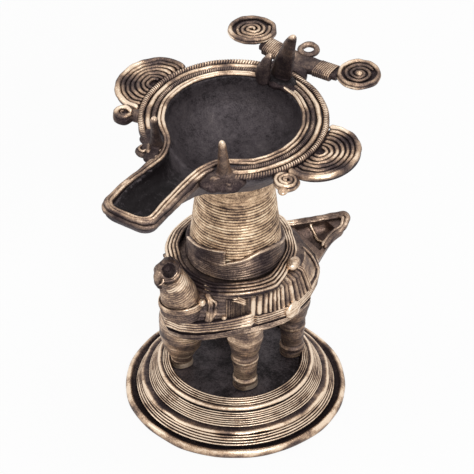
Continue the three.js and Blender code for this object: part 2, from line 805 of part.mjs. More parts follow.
function buildStem() {
  const stem = new THREE.Group();
  stem.position.z = stemBottom;
  const bandBottom = stemHeight - topBandHeight;
  const core = stemTopRadius - topBandThickness - clearance;
  const wound = woundProfile(
    [[stemRadius(0) - stemWall, 0], [core, bandBottom]],
    [[stemRadius(0), 0], [stemRadius(bandBottom), bandBottom]], stemThreads, 0.5,
  );
  const spigotWall = [boreRadius, stemHeight];
  put(stem, 'stem_core', revolve([...wound, [core, stemHeight], spigotWall,
    [boreRadius, stemHeight - spigotLength - 1.2]]), polished);
  const band = [
    [core + clearance, bandBottom + clearance], [stemRadius(bandBottom), bandBottom + clearance],
    [stemRadius(bandBottom) + 0.1, bandBottom + 1.6], [stemTopRadius + 0.3, stemHeight - 1.6],
    [stemTopRadius, stemHeight - 0.2], [core + clearance, stemHeight - 0.2],
  ];
  put(stem, 'stem_top_band', revolve(band), worn);
  const wrap = woundProfile(
    [[stemRadius(0.4) + clearance, 0.4], [stemRadius(wrapHeight) + clearance + 0.1, wrapHeight]],
    [[stemRadius(0) + wrapThickness, 0.4], [stemRadius(wrapHeight) + wrapThickness, wrapHeight]], 3, 0.4,
  );
  put(stem, 'stem_wrap', revolve(wrap), worn);
  lamp.add(stem);
}

// The dish, its own origin on the rim's ledge at the dish's centre.
function dishShell() {
  const r = dishInnerRadius;
  const d = dishHeight;
  const depth = d - dishWall;
  const profile = [
    [0, -d - spigotLength], [boreRadius - clearance, -d - spigotLength], [boreRadius - clearance, -d],
    [stemTopRadius + 0.3, -d], [r * 0.83, -d * 0.83], [r * 0.985, -d * 0.56], [r * 1.085, -d * 0.24],
    [r * 1.14, -rimThickness - 0.4], [dishOuterRadius, -rimThickness], [dishOuterRadius, 0],
    [r, rimRise], [r * 0.98, -d * 0.22], [r * 0.89, -d * 0.47], [r * 0.72, -d * 0.68],
    [r * 0.45, -depth + 1], [0, -depth],
  ];
  const shell = revolve(profile, ringFacets + 4);
  const p = shell.getAttribute('position');
  for (let i = 0; i < p.count; i++) {
    const back = THREE.MathUtils.clamp(-p.getZ(i) / dishHeight, 0, 1);
    p.setY(i, p.getY(i) - dishShift * back);
  }
  return shell;
}

// A point across the spout: side -1 is its right wall and 1 its left, each at the outer or
// inner edge, and what lies between is shared out.
const across = ({ right, left }, edge, side) => THREE.MathUtils.lerp(
  right[edge], left[edge], (side + 1) / 2,
);
const spoutY = ({ reach }) => -dishOuterRadius - reach;

function spoutBody() {
  return skin(spoutStations.map((station) => {
    const { drop, under } = station;
    return [[-1, -drop], [-1, -drop - 1.6], [-0.62, -under], [0.62, -under], [1, -drop - 1.6], [1, -drop]]
      .map(([side, z]) => new THREE.Vector3(across(station, 0, side), spoutY(station), z));
  }));
}

function spoutChannel() {
  return skin(spoutStations.filter(({ left }) => left.length > 1).map((station) => {
    const { floor } = station;
    return [[-1, 8], [-1, -floor * 0.5], [-0.6, -floor], [0.6, -floor], [1, -floor * 0.5], [1, 8]]
      .map(([side, z]) => new THREE.Vector3(across(station, 1, side), spoutY(station), z));
  }));
}

function dishHollow() {
  const r = dishInnerRadius;
  const d = dishHeight;
  return revolve([
    [0, 9], [r, 9], [r, 0], [r * 0.98, -d * 0.22], [r * 0.89, -d * 0.47], [r * 0.72, -d * 0.68],
    [r * 0.45, -d + dishWall + 1], [0, -d + dishWall],
  ], ringFacets + 4);
}

function rimArcPath(radius) {
  return Array.from({ length: rimSteps + 1 }, (_, i) => new THREE.Vector3(
    ...around(radius, THREE.MathUtils.lerp(rimArc[0], rimArc[1], i / rimSteps)), clearance,
  ));
}

function rimBand({ from, width, humps }, tools) {
  const h = rimThreadHeight;
  const shape = humps === 2
    ? [[0, 0], [1, 0], [1, h * 0.6], [0.75, h], [0.5, h * 0.6], [0.25, h], [0, h * 0.6]]
    : [[0, 0], [1, 0], [1, h * 0.55], [0.5, h], [0, h * 0.55]];
  const radius = dishInnerRadius + from * rimWidth;
  const section = shape.map(([share, z]) => {
    const out = share * width * rimWidth;
    return [out, z + rimLift(radius + out)];
  });
  return cut(sweep(rimArcPath(radius), section), ...tools);
}

// A thread along the spout's edge: down one side, round the tip and back.
function spoutThread(track, start, steps, tools) {
  const points = spoutStations.filter(({ reach }) => reach >= start).map(track).filter(Boolean);
  const path = [
    ...points.map(({ right, y, z }) => new THREE.Vector3(right, y, z)),
    ...points.map(({ left, y, z }) => new THREE.Vector3(left, y, z)).reverse(),
  ];
  const curve = new THREE.CatmullRomCurve3(path, false, 'centripetal');
  return cut(wire(curve, edgeThreadRadius, 5, steps), ...tools);
}

const threadSeat = ({ drop }, x, y) => Math.max(-drop, rimLift(Math.hypot(x, y)))
  + edgeThreadRadius + clearance;
const channelEnd = spoutStations.findLast(({ left }) => left.length > 1);

function innerTrack(station) {
  if (station.left.length < 2) return null;
  const last = station === channelEnd;
  const off = edgeThreadRadius + (last ? -1.3 : 0.1);
  const left = station.left[1] + off;
  const y = spoutY(station) - (last ? 1 : 0);
  return { right: station.right[1] - off, left, y, z: threadSeat(station, left, y) };
}

function outerTrack(station) {
  const off = edgeThreadRadius + 0.1;
  const left = station.left[0] - off;
  const y = spoutY(station) + (station.reach < 0 ? -2.4 : 0.9);
  return { right: station.right[0] + off, left, y, z: threadSeat(station, left, y) };
}

// Half a disc of concentric threads outside the rim.
function volute(side) {
  const section = [[0.6, 0], [voluteRadius, 0], [voluteRadius, voluteThickness * 0.5]];
  for (let i = 0; i < 2 * voluteRings; i++) {
    const r = voluteRadius * (1 - (i + 0.5) / (2 * voluteRings + 1));
    section.push([r, voluteThickness * (i % 2 ? 0.62 : 1)]);
  }
  section.push([0.6, voluteThickness * 0.62]);
  const steps = 10;
  const rings = [];
  for (let i = 0; i <= steps; i++) {
    const a = THREE.MathUtils.degToRad(-100 + (200 * i) / steps);
    rings.push(section.map(([r, z]) => new THREE.Vector3(side * r * Math.cos(a), r * Math.sin(a), z)));
  }
  const plate = skin(rings);
  plate.translate(side * (dishOuterRadius + 1.6), -dishShift, ornamentTop - voluteThickness);
  return cut(plate, rimRoom());
}

// Room for the rim in the pieces that touch its outer edge.
function rimRoom() {
  const room = dishOuterRadius + clearance;
  return revolve([[0, -20], [room, -20], [room, 20], [0, 20]], 72);
}

// A small curl: a round pad with one raised turn, or a plain knob when it has none.
function curl(radius, thickness, turns) {
  const steps = Math.round(turns * 7);
  const path = Array.from({ length: steps + 1 }, (_, i) => {
    const a = (i / steps) * turns * Math.PI * 2;
    const r = radius - 0.8 - (radius - 1.3) * (i / steps);
    return new THREE.Vector3(r * Math.cos(a), r * Math.sin(a), thickness - 0.35);
  });
  const plate = revolve([[0, 0], [radius - 0.5, 0], [radius, thickness * 0.4],
    [radius - 0.5, thickness - 0.4], [0, thickness - 0.4]], 12);
  if (!turns) return plate;
  return join(plate, sweep(path, [[-0.5, -0.4], [0.5, -0.4], [0.35, 0.5], [-0.35, 0.5]]));
}

function buildDish() {
  const dish = new THREE.Group();
  dish.position.set(0, dishShift, rimLedge);
  const bowl = fromSolid(toSolid(dishShell()).add(toSolid(spoutBody()))
    .subtract(toSolid(dishHollow())).subtract(toSolid(spoutChannel())));
  put(dish, 'bowl', bowl, dark);

  const spikeFeet = spikeAngles.map((angle) => around(dishOuterRadius - spikeInset, angle));
  const spikeSeat = clearance + rimLift(dishOuterRadius - spikeInset - spikeRadius);
  const spike = ([x, y], lean) => horn([
    [x, y, spikeSeat, spikeRadius, spikeRadius],
    [x, y, spikeHeight * 0.16, spikeRadius * 0.86, spikeRadius * 0.86],
    [x + lean[0] * 0.4, y + lean[1] * 0.4, spikeHeight * 0.45, spikeRadius * 0.62, spikeRadius * 0.62],
    [x + lean[0] * 0.8, y + lean[1] * 0.8, spikeHeight * 0.85, spikeRadius * 0.42, spikeRadius * 0.42],
    [x + lean[0], y + lean[1], spikeHeight + 2, 0.35, 0.35],
  ], 10);
  put(dish, 'left_spike', spike(spikeFeet[0], [0.6, -2.0]), polished);
  put(dish, 'right_spike', spike(spikeFeet[1], [-0.6, -2.0]), worn);
  const post = ([x, y]) => {
    const r = spikeRadius + cutClearance;
    return revolve([[0, -3], [r, -3], [r, 9], [0, 9]], 12).translate(x, y, 0);
  };
  const posts = spikeFeet.map(post);

  const finishes = [polished, worn, polished, worn];
  rimBands.forEach((band, i) => put(dish, band.name, rimBand(band, posts), finishes[i]));
  put(dish, 'spout_inner_thread', spoutThread(innerTrack, innerThreadStart, 28, posts), polished);
  put(dish, 'spout_outer_thread', spoutThread(outerTrack, outerThreadStart, 26, posts), worn);

  put(dish, 'left_volute', volute(1), worn);
  put(dish, 'right_volute', volute(-1), worn);
  [['left_curl', 1], ['right_curl', -1]].forEach(([name, side]) => {
    const [x, y] = around(dishOuterRadius + curlReach, curlAngle);
    const piece = curl(curlRadius, voluteThickness, 2.2);
    piece.translate(side * x, y, ornamentTop - voluteThickness - 0.8);
    put(dish, name, cut(piece, rimRoom()), worn);
  });
  ['left_junction_curl', 'right_junction_curl'].forEach((name, i) => {
    const [x, y] = around(dishOuterRadius + junctionCurlReach, junctionCurlAngles[i]);
    const piece = curl(junctionCurlRadius, voluteThickness, 0).translate(x, y, -voluteThickness);
    put(dish, name, cut(piece, rimRoom()), worn);
  });

  const [mw, md, mh] = hornMountSize;
  const mountBottom = clearance + rimThreadHeight + rimRise + clearance;
  const slab = (z, k) => circlePoints(14, (a) => new THREE.Vector3(
    (mw / 2) * k * Math.cos(a), hornMountBack + (md / 2) * k * Math.sin(a), z,
  ));
  put(dish, 'horn_mount', skin([slab(mountBottom, 0.96), slab(mountBottom + mh * 0.5, 1),
    slab(mountBottom + mh, 0.72)]), dark);
  const seat = mountBottom + mh + clearance;
  const my = hornMountBack;
  put(dish, 'tall_horn', horn([
    [2.6, my + 0.4, seat, 4.1, 2.4], [3.2, my + 0.2, seat + tallHornHeight * 0.3, 4.0, 2.2],
    [4.4, my - 0.4, seat + tallHornHeight * 0.62, 2.9, 1.7],
    [5.8, my - 1.2, seat + tallHornHeight * 0.9, 1.3, 1.1], [6.2, my - 1.5, seat + tallHornHeight, 0.5, 0.5],
  ]), dark);
  put(dish, 'short_horn', horn([
    [-5.6, my - 2.2, seat, 3.0, 2.5], [-5.3, my - 2.4, seat + shortHornHeight * 0.4, 2.9, 2.3],
    [-3.9, my - 3.2, seat + shortHornHeight * 0.8, 1.9, 1.6],
    [-2.8, my - 3.8, seat + shortHornHeight, 0.6, 0.6],
  ]), dark);
  lamp.add(dish);
}

// Crossbar group: its own origin at the middle of the bar's underside.
function disc(side) {
  const t = discThickness;
  const rim = 1.9;
  const plate = revolve([
    [0, 0], [discRadius - 0.7, 0], [discRadius, t * 0.4], [discRadius - 0.4, t + 0.3],
    [discRadius - rim, t + 0.3], [discRadius - rim, t - 0.9], [0, t - 0.9],
  ], 18);
  const steps = Math.round(discTurns * 10);
  const first = discRadius - rim - discWireRadius - 0.35;
  const path = Array.from({ length: steps + 1 }, (_, i) => {
    const f = i / steps;
    const a = side * f * discTurns * Math.PI * 2;
    const r = first - (first - 0.6) * f;
    return new THREE.Vector3(r * Math.cos(a), r * Math.sin(a), t - 0.9);
  });
  const w = discWireRadius;
  const section = [[-w * 0.75, -0.3], [w * 0.75, -0.3], [w * 0.5, w * 1.2], [-w * 0.5, w * 1.2]];
  return join(plate, sweep(path, section));
}

function buildCrossbar() {
  const crossbar = new THREE.Group();
  crossbar.position.set(0, crossbarBack, rimLedge - barDrop);
  const [w, t] = [crossbarWidth, crossbarThickness];
  const slab = (y, half, low, high) => [[-half, low], [half, low], [half, high * 0.8], [half * 0.6, high],
    [-half * 0.6, high], [-half, high * 0.8]].map(([x, z]) => new THREE.Vector3(x, y, z));
  const block = skin([
    slab(-crossbarReach - 1, blockWidth * 0.62, 0, t),
    slab(-crossbarReach * 0.5, blockWidth * 0.5, -0.6, t + 0.8),
    slab(-w / 2 - clearance, blockWidth * 0.5, -0.4, t + 0.6),
  ]);
  const room = rimRoom().translate(0, dishShift - crossbarBack, 0);
  put(crossbar, 'crossbar_block', cut(block, room), dark);

  const bar = (x, k) => circlePoints(8, (a) => new THREE.Vector3(
    x, Math.abs(x) * armBend + (w / 2) * k * Math.sign(Math.sin(a)) * Math.abs(Math.sin(a)) ** 0.6,
    t / 2 + (t / 2) * k * Math.sign(Math.cos(a)) * Math.abs(Math.cos(a)) ** 0.6,
  ));
  const core = 1 - (2 * bindingThickness) / w - 0.1;
  const [b0, b1, end] = [bindingStart, bindingStart + bindingLength, crossbarHalfLength];
  const barStations = [[-end, core], [-b0, core], [-b0 + 0.2, 1], [0, 1], [b0 - 0.2, 1],
    [b0, core], [end, core]];
  const barSolid = skin(barStations.map(([x, k]) => bar(x, k)));
  const discTool = (side) => {
    const r = discRadius + clearance;
    return revolve([[0, -3], [r, -3], [r, 9], [0, 9]], 24).translate(side * discCentre, discBack, 0);
  };
  put(crossbar, 'crossbar', cut(barSolid, discTool(1), discTool(-1)), worn);

  [['left_binding', 1], ['right_binding', -1]].forEach(([name, side]) => {
    const rings = [];
    for (let i = 0; i <= 2 * bindingWires; i++) {
      const x = b0 + clearance + ((b1 - b0 - clearance) * i) / (2 * bindingWires);
      rings.push(bar(side * x, i % 2 ? 1.06 : 0.98));
    }
    const bore = skin([bar(side * (b0 - 1), core + 0.09), bar(side * (b1 + 1), core + 0.09)]);
    put(crossbar, name, cut(skin(rings), bore, discTool(side)), worn);
  });
  put(crossbar, 'left_disc', disc(1), polished, [discCentre, discBack, 0.6]);
  put(crossbar, 'right_disc', disc(-1), polished, [-discCentre, discBack, 0.6]);

  const ring = revolve([
    [loopRadius - loopWireRadius, 0.5], [loopRadius, 0], [loopRadius + loopWireRadius, 0.5],
    [loopRadius + loopWireRadius, 1.5], [loopRadius, 2], [loopRadius - loopWireRadius, 1.5],
  ], 12);
  const loop = moved(ring, 0, w / 2 + loopRadius + 0.4, t - 1.5);
  const barRoom = skin([bar(-b0, 1.08), bar(0, 1.08), bar(b0, 1.08)]);
  put(crossbar, 'hanging_loop', cut(loop, barRoom), worn);
  lamp.add(crossbar);
}

buildStand();
buildLegs();
buildBird();
buildStem();
buildDish();
buildCrossbar();

export default lamp;
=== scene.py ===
# %% [markdown]
# # A peacock oil lamp, wound in wax and cast in brass
# The real lamp is a lost-wax casting. Its maker rolls wax into threads, winds them over
# a clay core, and pours brass into the space that the wax leaves. Every surface keeps
# the threads: bright on the crests, where hands polish them, and nearly black between.
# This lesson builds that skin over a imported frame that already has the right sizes.
# Sizes are in millimetres until a piece is put in its place on the lamp.

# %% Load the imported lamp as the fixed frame
import bpy
import bmesh
import math
from mathutils import Matrix, Vector, noise
from mathutils.bvhtree import BVHTree


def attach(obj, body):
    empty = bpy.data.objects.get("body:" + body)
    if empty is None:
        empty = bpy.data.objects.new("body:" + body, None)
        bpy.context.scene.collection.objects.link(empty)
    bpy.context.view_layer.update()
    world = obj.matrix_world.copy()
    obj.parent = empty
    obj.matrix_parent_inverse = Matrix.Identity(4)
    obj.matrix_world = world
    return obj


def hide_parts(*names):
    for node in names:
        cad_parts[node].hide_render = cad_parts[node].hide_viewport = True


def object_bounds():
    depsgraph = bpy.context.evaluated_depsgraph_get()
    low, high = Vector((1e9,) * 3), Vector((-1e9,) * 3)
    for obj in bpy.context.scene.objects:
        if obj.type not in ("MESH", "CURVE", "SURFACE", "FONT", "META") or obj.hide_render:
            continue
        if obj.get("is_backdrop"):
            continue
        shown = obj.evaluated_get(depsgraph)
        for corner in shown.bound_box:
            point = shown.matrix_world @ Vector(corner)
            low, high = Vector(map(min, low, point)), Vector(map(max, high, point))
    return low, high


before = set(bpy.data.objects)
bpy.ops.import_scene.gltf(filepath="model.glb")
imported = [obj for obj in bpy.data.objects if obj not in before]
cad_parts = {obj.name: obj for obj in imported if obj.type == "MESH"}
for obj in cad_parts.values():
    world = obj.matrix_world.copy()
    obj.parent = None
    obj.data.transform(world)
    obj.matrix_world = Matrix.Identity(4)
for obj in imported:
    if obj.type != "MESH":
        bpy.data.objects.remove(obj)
cad_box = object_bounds()
MM = 0.001
TAU = math.tau
print("frame of", len(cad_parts), "parts, box", cad_box)

# %% [markdown]
# ## The camera
# The lamp is seen from its front left and from well above, through a long lens, so the
# verticals stay upright. A camera can be placed by eye or worked out. Here the turn, the
# height angle and the scale were worked out from the round stand and the upright stem.

# %% Place the camera
TURN, HEIGHT_ANGLE, DISTANCE = math.radians(34), math.radians(41), 3.0
AIM_RIGHT, AIM_UP = 0.7, 68.3


def new_object(name, data):
    obj = bpy.data.objects.new(name, data)
    bpy.context.scene.collection.objects.link(obj)
    return obj


towards_camera = Vector((math.sin(TURN) * math.cos(HEIGHT_ANGLE),
                         -math.cos(TURN) * math.cos(HEIGHT_ANGLE),
                         math.sin(HEIGHT_ANGLE)))
to_the_right = Vector((math.cos(TURN), math.sin(TURN), 0))
aim = to_the_right * AIM_RIGHT * MM + towards_camera.cross(to_the_right) * AIM_UP * MM
lens_data = bpy.data.cameras.new("lamp_camera")
lens_data.sensor_width = 36
lens_data.lens = 499
camera = new_object("lamp_camera", lens_data)
camera.location = towards_camera * DISTANCE
camera.rotation_euler = (towards_camera * DISTANCE - aim).to_track_quat("Z", "Y").to_euler()
bpy.context.scene.camera = camera
print("camera looks at", tuple(round(v, 4) for v in aim))

# %% [markdown]
# ## Light
# Soft light from large lamps suits polished metal: each lamp shows in the crests as a
# broad pale streak and not as a dot. The strongest hangs on the camera's right, so the
# crests on that side shine most.

# %% Hang the lamps
DISH_MIDDLE = Vector((0, 0, 0.09))
LAMPS = (("front_box", 7.5, 0.35, (0.95, -0.75, 1.0)),
         ("left_box", 1.6, 0.7, (-1.1, -0.7, 0.8)),
         ("top_box", 3.0, 0.6, (0.1, 0.3, 1.5)))
for name, watts, size, place in LAMPS:
    data = bpy.data.lights.new(name, "AREA")
    data.energy = watts
    data.shape = "DISK"
    data.size = size
    lamp = new_object(name, data)
    lamp.location = place
    lamp.rotation_euler = (Vector(place) - DISH_MIDDLE).to_track_quat("Z", "Y").to_euler()
print("three lamps")

# %% [markdown]
# ## Ground and background
# The ground is white and keeps a faint shadow. The camera and the reflections see white
# around the lamp, which is where the metal's pale tones come from, and all other rays
# see a dimmer room. A node that knows which ray asks can tell the two apart.

# %% Lay the ground and light the room
WHITE = (1, 1, 1, 1)
GROUND_RADIUS, GROUND_GLOW = 3.0, 0.93


def shader(nodes, kind, **inputs):
    made = nodes.new("ShaderNode" + kind)
    for name, value in inputs.items():
        made.inputs[name].default_value = value
    return made


def shown_white(tree, output, others, white, share):
    """The camera's rays, and what metal or glass passes on, see the white one; the rest see the others."""
    nodes, links = tree.nodes, tree.links
    seen = nodes.new("ShaderNodeLightPath")
    either = seen.outputs["Is Camera Ray"]
    for operation, other in (("MAXIMUM", seen.outputs["Is Glossy Ray"]),
                             ("MAXIMUM", seen.outputs["Is Transmission Ray"]), ("MULTIPLY", None)):
        pair = nodes.new("ShaderNodeMath")
        pair.operation = operation
        pair.inputs[1].default_value = share
        links.new(either, pair.inputs[0])
        if other:
            links.new(other, pair.inputs[1])
        either = pair.outputs[0]
    pick = nodes.new("ShaderNodeMixShader")
    links.new(either, pick.inputs[0])
    links.new(others.outputs[0], pick.inputs[1])
    links.new(white.outputs[0], pick.inputs[2])
    links.new(pick.outputs[0], nodes.new(output).inputs["Surface"])


world = bpy.data.worlds.new("studio")
bpy.context.scene.world = world
world.use_nodes = True
world.node_tree.nodes.clear()
room = shader(world.node_tree.nodes, "Background", Color=WHITE, Strength=0.5)
backdrop = shader(world.node_tree.nodes, "Background", Color=WHITE, Strength=1.0)
shown_white(world.node_tree, "ShaderNodeOutputWorld", room, backdrop, 1.0)

bm = bmesh.new()
bmesh.ops.create_circle(bm, cap_ends=True, segments=96, radius=GROUND_RADIUS)
mesh = bpy.data.meshes.new("ground")
bm.to_mesh(mesh)
bm.free()
ground = new_object("ground", mesh)
ground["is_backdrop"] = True
paper = bpy.data.materials.new("ground_paper")
paper.use_nodes = True
paper.node_tree.nodes.clear()
matt = shader(paper.node_tree.nodes, "BsdfDiffuse", Color=(0.95, 0.95, 0.95, 1))
glow = shader(paper.node_tree.nodes, "Emission", Color=WHITE)
shown_white(paper.node_tree, "ShaderNodeOutputMaterial", matt, glow, GROUND_GLOW)
mesh.materials.append(paper)
print("a ground", 2 * GROUND_RADIUS, "m across")

# %% [markdown]
# ## Brass with its patina
# Old cast brass has pale rubbed crests, a brown skin, and a dark purplish brown in the
# hollows. A texture painted by hand could carry them, but here each mesh stores how
# polished each point is, as an attribute named "polish", and the finish turns it into
# colour and gloss. Slow noise makes patches of wear and fine noise makes the grain.

# %% A finish that reads the polish of each point
STOPS = (0.05, 0.3, 0.55, 0.8, 1.0)
PATCHES, GRAIN, FINE_GRAIN, DENTS, PITS = 90, 420, 1700, 500, 1300


def brass_finish(name, tones, gloss=(0.62, 0.3), patch=0.5, grain=0.3, lift=0.0, bump=0.25, metal=0.8):
    """tones are five colours from groove to crest; lift moves the whole piece towards the crest tone."""
    finish = bpy.data.materials.new(name)
    finish.use_nodes = True
    nodes, links = finish.node_tree.nodes, finish.node_tree.links
    nodes.clear()

    def node(kind, **values):
        made = nodes.new(kind)
        for key, value in values.items():
            setattr(made, key, value)
        return made

    def sum_of(a, b, factor):
        made = node("ShaderNodeMath", operation="MULTIPLY_ADD")
        links.new(b, made.inputs[0])
        made.inputs[1].default_value = factor
        links.new(a, made.inputs[2])
        return made.outputs[0]

    place = node("ShaderNodeTexCoord").outputs["Object"]
    polish = node("ShaderNodeAttribute", attribute_name="polish").outputs["Fac"]

    def noise_of(scale, detail, middle=True):
        made = shader(nodes, "TexNoise", Scale=scale, Detail=detail, Roughness=0.6)
        links.new(place, made.inputs["Vector"])
        if not middle:
            return made.outputs["Fac"]
        level = node("ShaderNodeMath", operation="SUBTRACT")
        links.new(made.outputs["Fac"], level.inputs[0])
        level.inputs[1].default_value = 0.5
        return level.outputs[0]

    worn = sum_of(polish, noise_of(PATCHES, 3), patch * 1.6)
    worn = sum_of(worn, noise_of(GRAIN, 3), grain * 1.5)
    worn = sum_of(worn, noise_of(FINE_GRAIN, 2), grain * 1.6)
    raised = node("ShaderNodeMath", operation="ADD", use_clamp=True)
    links.new(worn, raised.inputs[0])
    raised.inputs[1].default_value = lift
    ramp = node("ShaderNodeValToRGB")
    stops = ramp.color_ramp.elements
    stops[0].position, stops[1].position = STOPS[0], STOPS[-1]
    stops[0].color, stops[1].color = (*tones[0], 1), (*tones[-1], 1)
    for position, tone in zip(STOPS[1:-1], tones[1:-1]):
        stops.new(position).color = (*tone, 1)
    links.new(raised.outputs[0], ramp.inputs["Fac"])
    rough = node("ShaderNodeMapRange")
    rough.inputs["To Min"].default_value, rough.inputs["To Max"].default_value = gloss
    links.new(raised.outputs[0], rough.inputs["Value"])
    relief = shader(nodes, "Bump", Strength=bump, Distance=0.0005)
    links.new(sum_of(noise_of(PITS, 4, middle=False), noise_of(DENTS, 3), 1.0), relief.inputs["Height"])
    skin = node("ShaderNodeBsdfPrincipled")
    skin.inputs["Metallic"].default_value = metal
    skin.inputs["Specular IOR Level"].default_value = 0.4
    links.new(ramp.outputs["Color"], skin.inputs["Base Color"])
    links.new(rough.outputs["Result"], skin.inputs["Roughness"])
    links.new(relief.outputs["Normal"], skin.inputs["Normal"])
    links.new(skin.outputs[0], node("ShaderNodeOutputMaterial").inputs["Surface"])
    return finish


# %% [markdown]
# ## Five finishes
# The worn parts of the lamp share one brass. The stem is more golden, the parts that
# hands don't reach are browner, burnt oil has blackened the dish, and the tail keeps a
# warm brown in its floor. Each finish is the same recipe with other tones.

# %% Mix the five finishes
GROOVE = (0.036, 0.024, 0.026)
DEEP_BROWN = (0.110, 0.077, 0.068)
MID_BROWN = (0.265, 0.178, 0.130)
PALE_BRASS = (0.60, 0.42, 0.285)
CREST = (0.92, 0.735, 0.56)
GOLDEN_TONES = (GROOVE, (0.17, 0.11, 0.075), (0.50, 0.335, 0.21), (0.82, 0.60, 0.40), (1.0, 0.84, 0.62))
BROWN_TONES = (GROOVE, (0.088, 0.062, 0.057), (0.20, 0.138, 0.108), (0.46, 0.325, 0.235),
               (0.82, 0.63, 0.47))
SOOTY_TONES = ((0.007, 0.004, 0.005), (0.078, 0.064, 0.070), (0.125, 0.105, 0.108), (0.24, 0.19, 0.165),
               (0.45, 0.35, 0.29))
TAIL_TONES = (GROOVE, DEEP_BROWN, (0.185, 0.122, 0.098), (0.40, 0.28, 0.20), (0.72, 0.54, 0.4))
bright = brass_finish("rubbed_brass", (GROOVE, DEEP_BROWN, MID_BROWN, PALE_BRASS, CREST), grain=0.42)
golden = brass_finish("stem_brass", GOLDEN_TONES, grain=0.5)
brown = brass_finish("handled_brass", BROWN_TONES, grain=0.42)
sooty = brass_finish("oil_darkened_brass", SOOTY_TONES, gloss=(0.62, 0.45), patch=0.35, grain=0.36,
                     bump=0.45, metal=0.5)
tail_brown = brass_finish("tail_brass", TAIL_TONES, lift=0.46, grain=0.4)
print("five finishes")

# %% [markdown]
# ## Wax threads as mesh
# Three tools make nearly every piece. One spins a section round the stem, as a potter's
# wheel would. One rolls a flat grid into place row by row, as a sheet of wax is laid,
# and one makes a ball. All carry the polish with them.

# %% Sections, spinning, rolled sheets and balls
PER_THREAD, THREAD_RELIEF, BAND_RELIEF = 6, 0.6, 0.5


def clamp(value):
    return min(1, max(0, value))


def polar(radius, angle, z=0.0):
    return Vector((radius * math.cos(angle), radius * math.sin(angle), z))


def bell(value, width):
    """1 at zero, falling to nothing a few widths away."""
    return math.exp(-(value / width) ** 2)


def thread_height(f, count=1, sharp=0.55):
    """0 in each groove and 1 on each crest, for count threads side by side."""
    return abs(math.sin(math.pi * f * count)) ** sharp


def wound_section(start, end, threads, depth):
    """A band of threads from start to end as (radius, height, polish), with a flat back."""
    (r0, z0), (r1, z1) = start, end
    length = math.hypot(r1 - r0, z1 - z0)
    nr, nz = (z1 - z0) / length, (r0 - r1) / length
    points = []
    for i in range(threads * PER_THREAD + 1):
        f = i / (threads * PER_THREAD)
        crest = thread_height(f, threads)
        sink = THREAD_RELIEF * (1 - crest)
        points.append((r0 + (r1 - r0) * f - nr * sink, z0 + (z1 - z0) * f - nz * sink, crest ** 2.6))
    points += [(r1 - nr * depth, z1 - nz * depth, 0), (r0 - nr * depth, z0 - nz * depth, 0)]
    return points


def polished_mesh():
    bm = bmesh.new()
    return bm, bm.verts.layers.float.new("polish")


def spun(section, steps=180, closed=True):
    bm, polish = polished_mesh()
    verts = []
    for r, z, shine in section:
        v = bm.verts.new((r, 0, z))
        v[polish] = shine
        verts.append(v)
    ends = verts[1:] + verts[:1] if closed else verts[1:]
    edges = [bm.edges.new(pair) for pair in zip(verts, ends)]
    bmesh.ops.spin(bm, geom=verts + edges, cent=(0, 0, 0), axis=(0, 0, 1), angle=TAU, steps=steps,
                   use_merge=True)
    bmesh.ops.remove_doubles(bm, verts=bm.verts, dist=1e-5)
    bmesh.ops.recalc_face_normals(bm, faces=bm.faces)
    return bm


def rolled_sheet(rows, columns, place, capped=False):
    """place(u, v) gives the point and its polish; opposite edges that meet are joined."""
    bm, polish = polished_mesh()
    bmesh.ops.create_grid(bm, x_segments=rows, y_segments=columns, size=1)
    for v in bm.verts:
        u = round((v.co.x + 1) / 2 * rows) / rows
        w = round((v.co.y + 1) / 2 * columns) / columns
        v.co, v[polish] = place(u, w)
    bmesh.ops.remove_doubles(bm, verts=bm.verts, dist=1e-5)
    if capped:
        bmesh.ops.holes_fill(bm, edges=[e for e in bm.edges if e.is_boundary], sides=0)
    bmesh.ops.recalc_face_normals(bm, faces=bm.faces)
    return bm


def ball(radius, centre, shine, size=(1, 1, 1), turn=0.0):
    bm, polish = polished_mesh()
    bmesh.ops.create_uvsphere(bm, u_segments=28, v_segments=18, radius=radius)
    for v in bm.verts:
        v[polish] = shine
    bmesh.ops.scale(bm, vec=size, verts=bm.verts)
    bmesh.ops.rotate(bm, cent=(0, 0, 0), matrix=Matrix.Rotation(math.radians(turn), 3, "Z"), verts=bm.verts)
    bmesh.ops.translate(bm, vec=centre, verts=bm.verts)
    return bm


# %% [markdown]
# ## The hand's touch
# Threads are never quite even, so a little noise moves each one and rubs some stretches
# brighter, and points that face up are painted a little lighter, as painted light from above.
# Where wax was pressed together, a remesh in small cells flows the parts into one skin.
# A copy of a imported part is merged first, because its triangles are loose.

# %% Uneven threads, flowing wax and pieces put in place
def by_hand(bm, amount=0.12, along=14.0, across=1.1, patches=0.45, streaks=0.3):
    """Moves the threads a little, rubs some stretches and some threads brighter than others, and paints
    upward-facing points a little lighter as painted light from above.
    """
    polish = bm.verts.layers.float["polish"]
    bm.normal_update()
    for v in bm.verts:
        seed = Vector((v.co.x / along, v.co.y / along, v.co.z / across))
        slow = noise.noise(Vector((v.co.x / 9, v.co.y / 9, v.co.z / 5)))
        streak = noise.noise(Vector((v.co.x / 7 + 5, v.co.y / 7, v.co.z / 0.8)))
        # painted light from above: points that face up get more polish, so tops read lighter
        painted_top_light = 0.9 + 0.14 * v.normal.z
        v[polish] = v[polish] * (painted_top_light + streaks * streak) + patches * slow * (0.2 + v[polish])
        v.co += noise.noise_vector(seed) * amount
    return bm


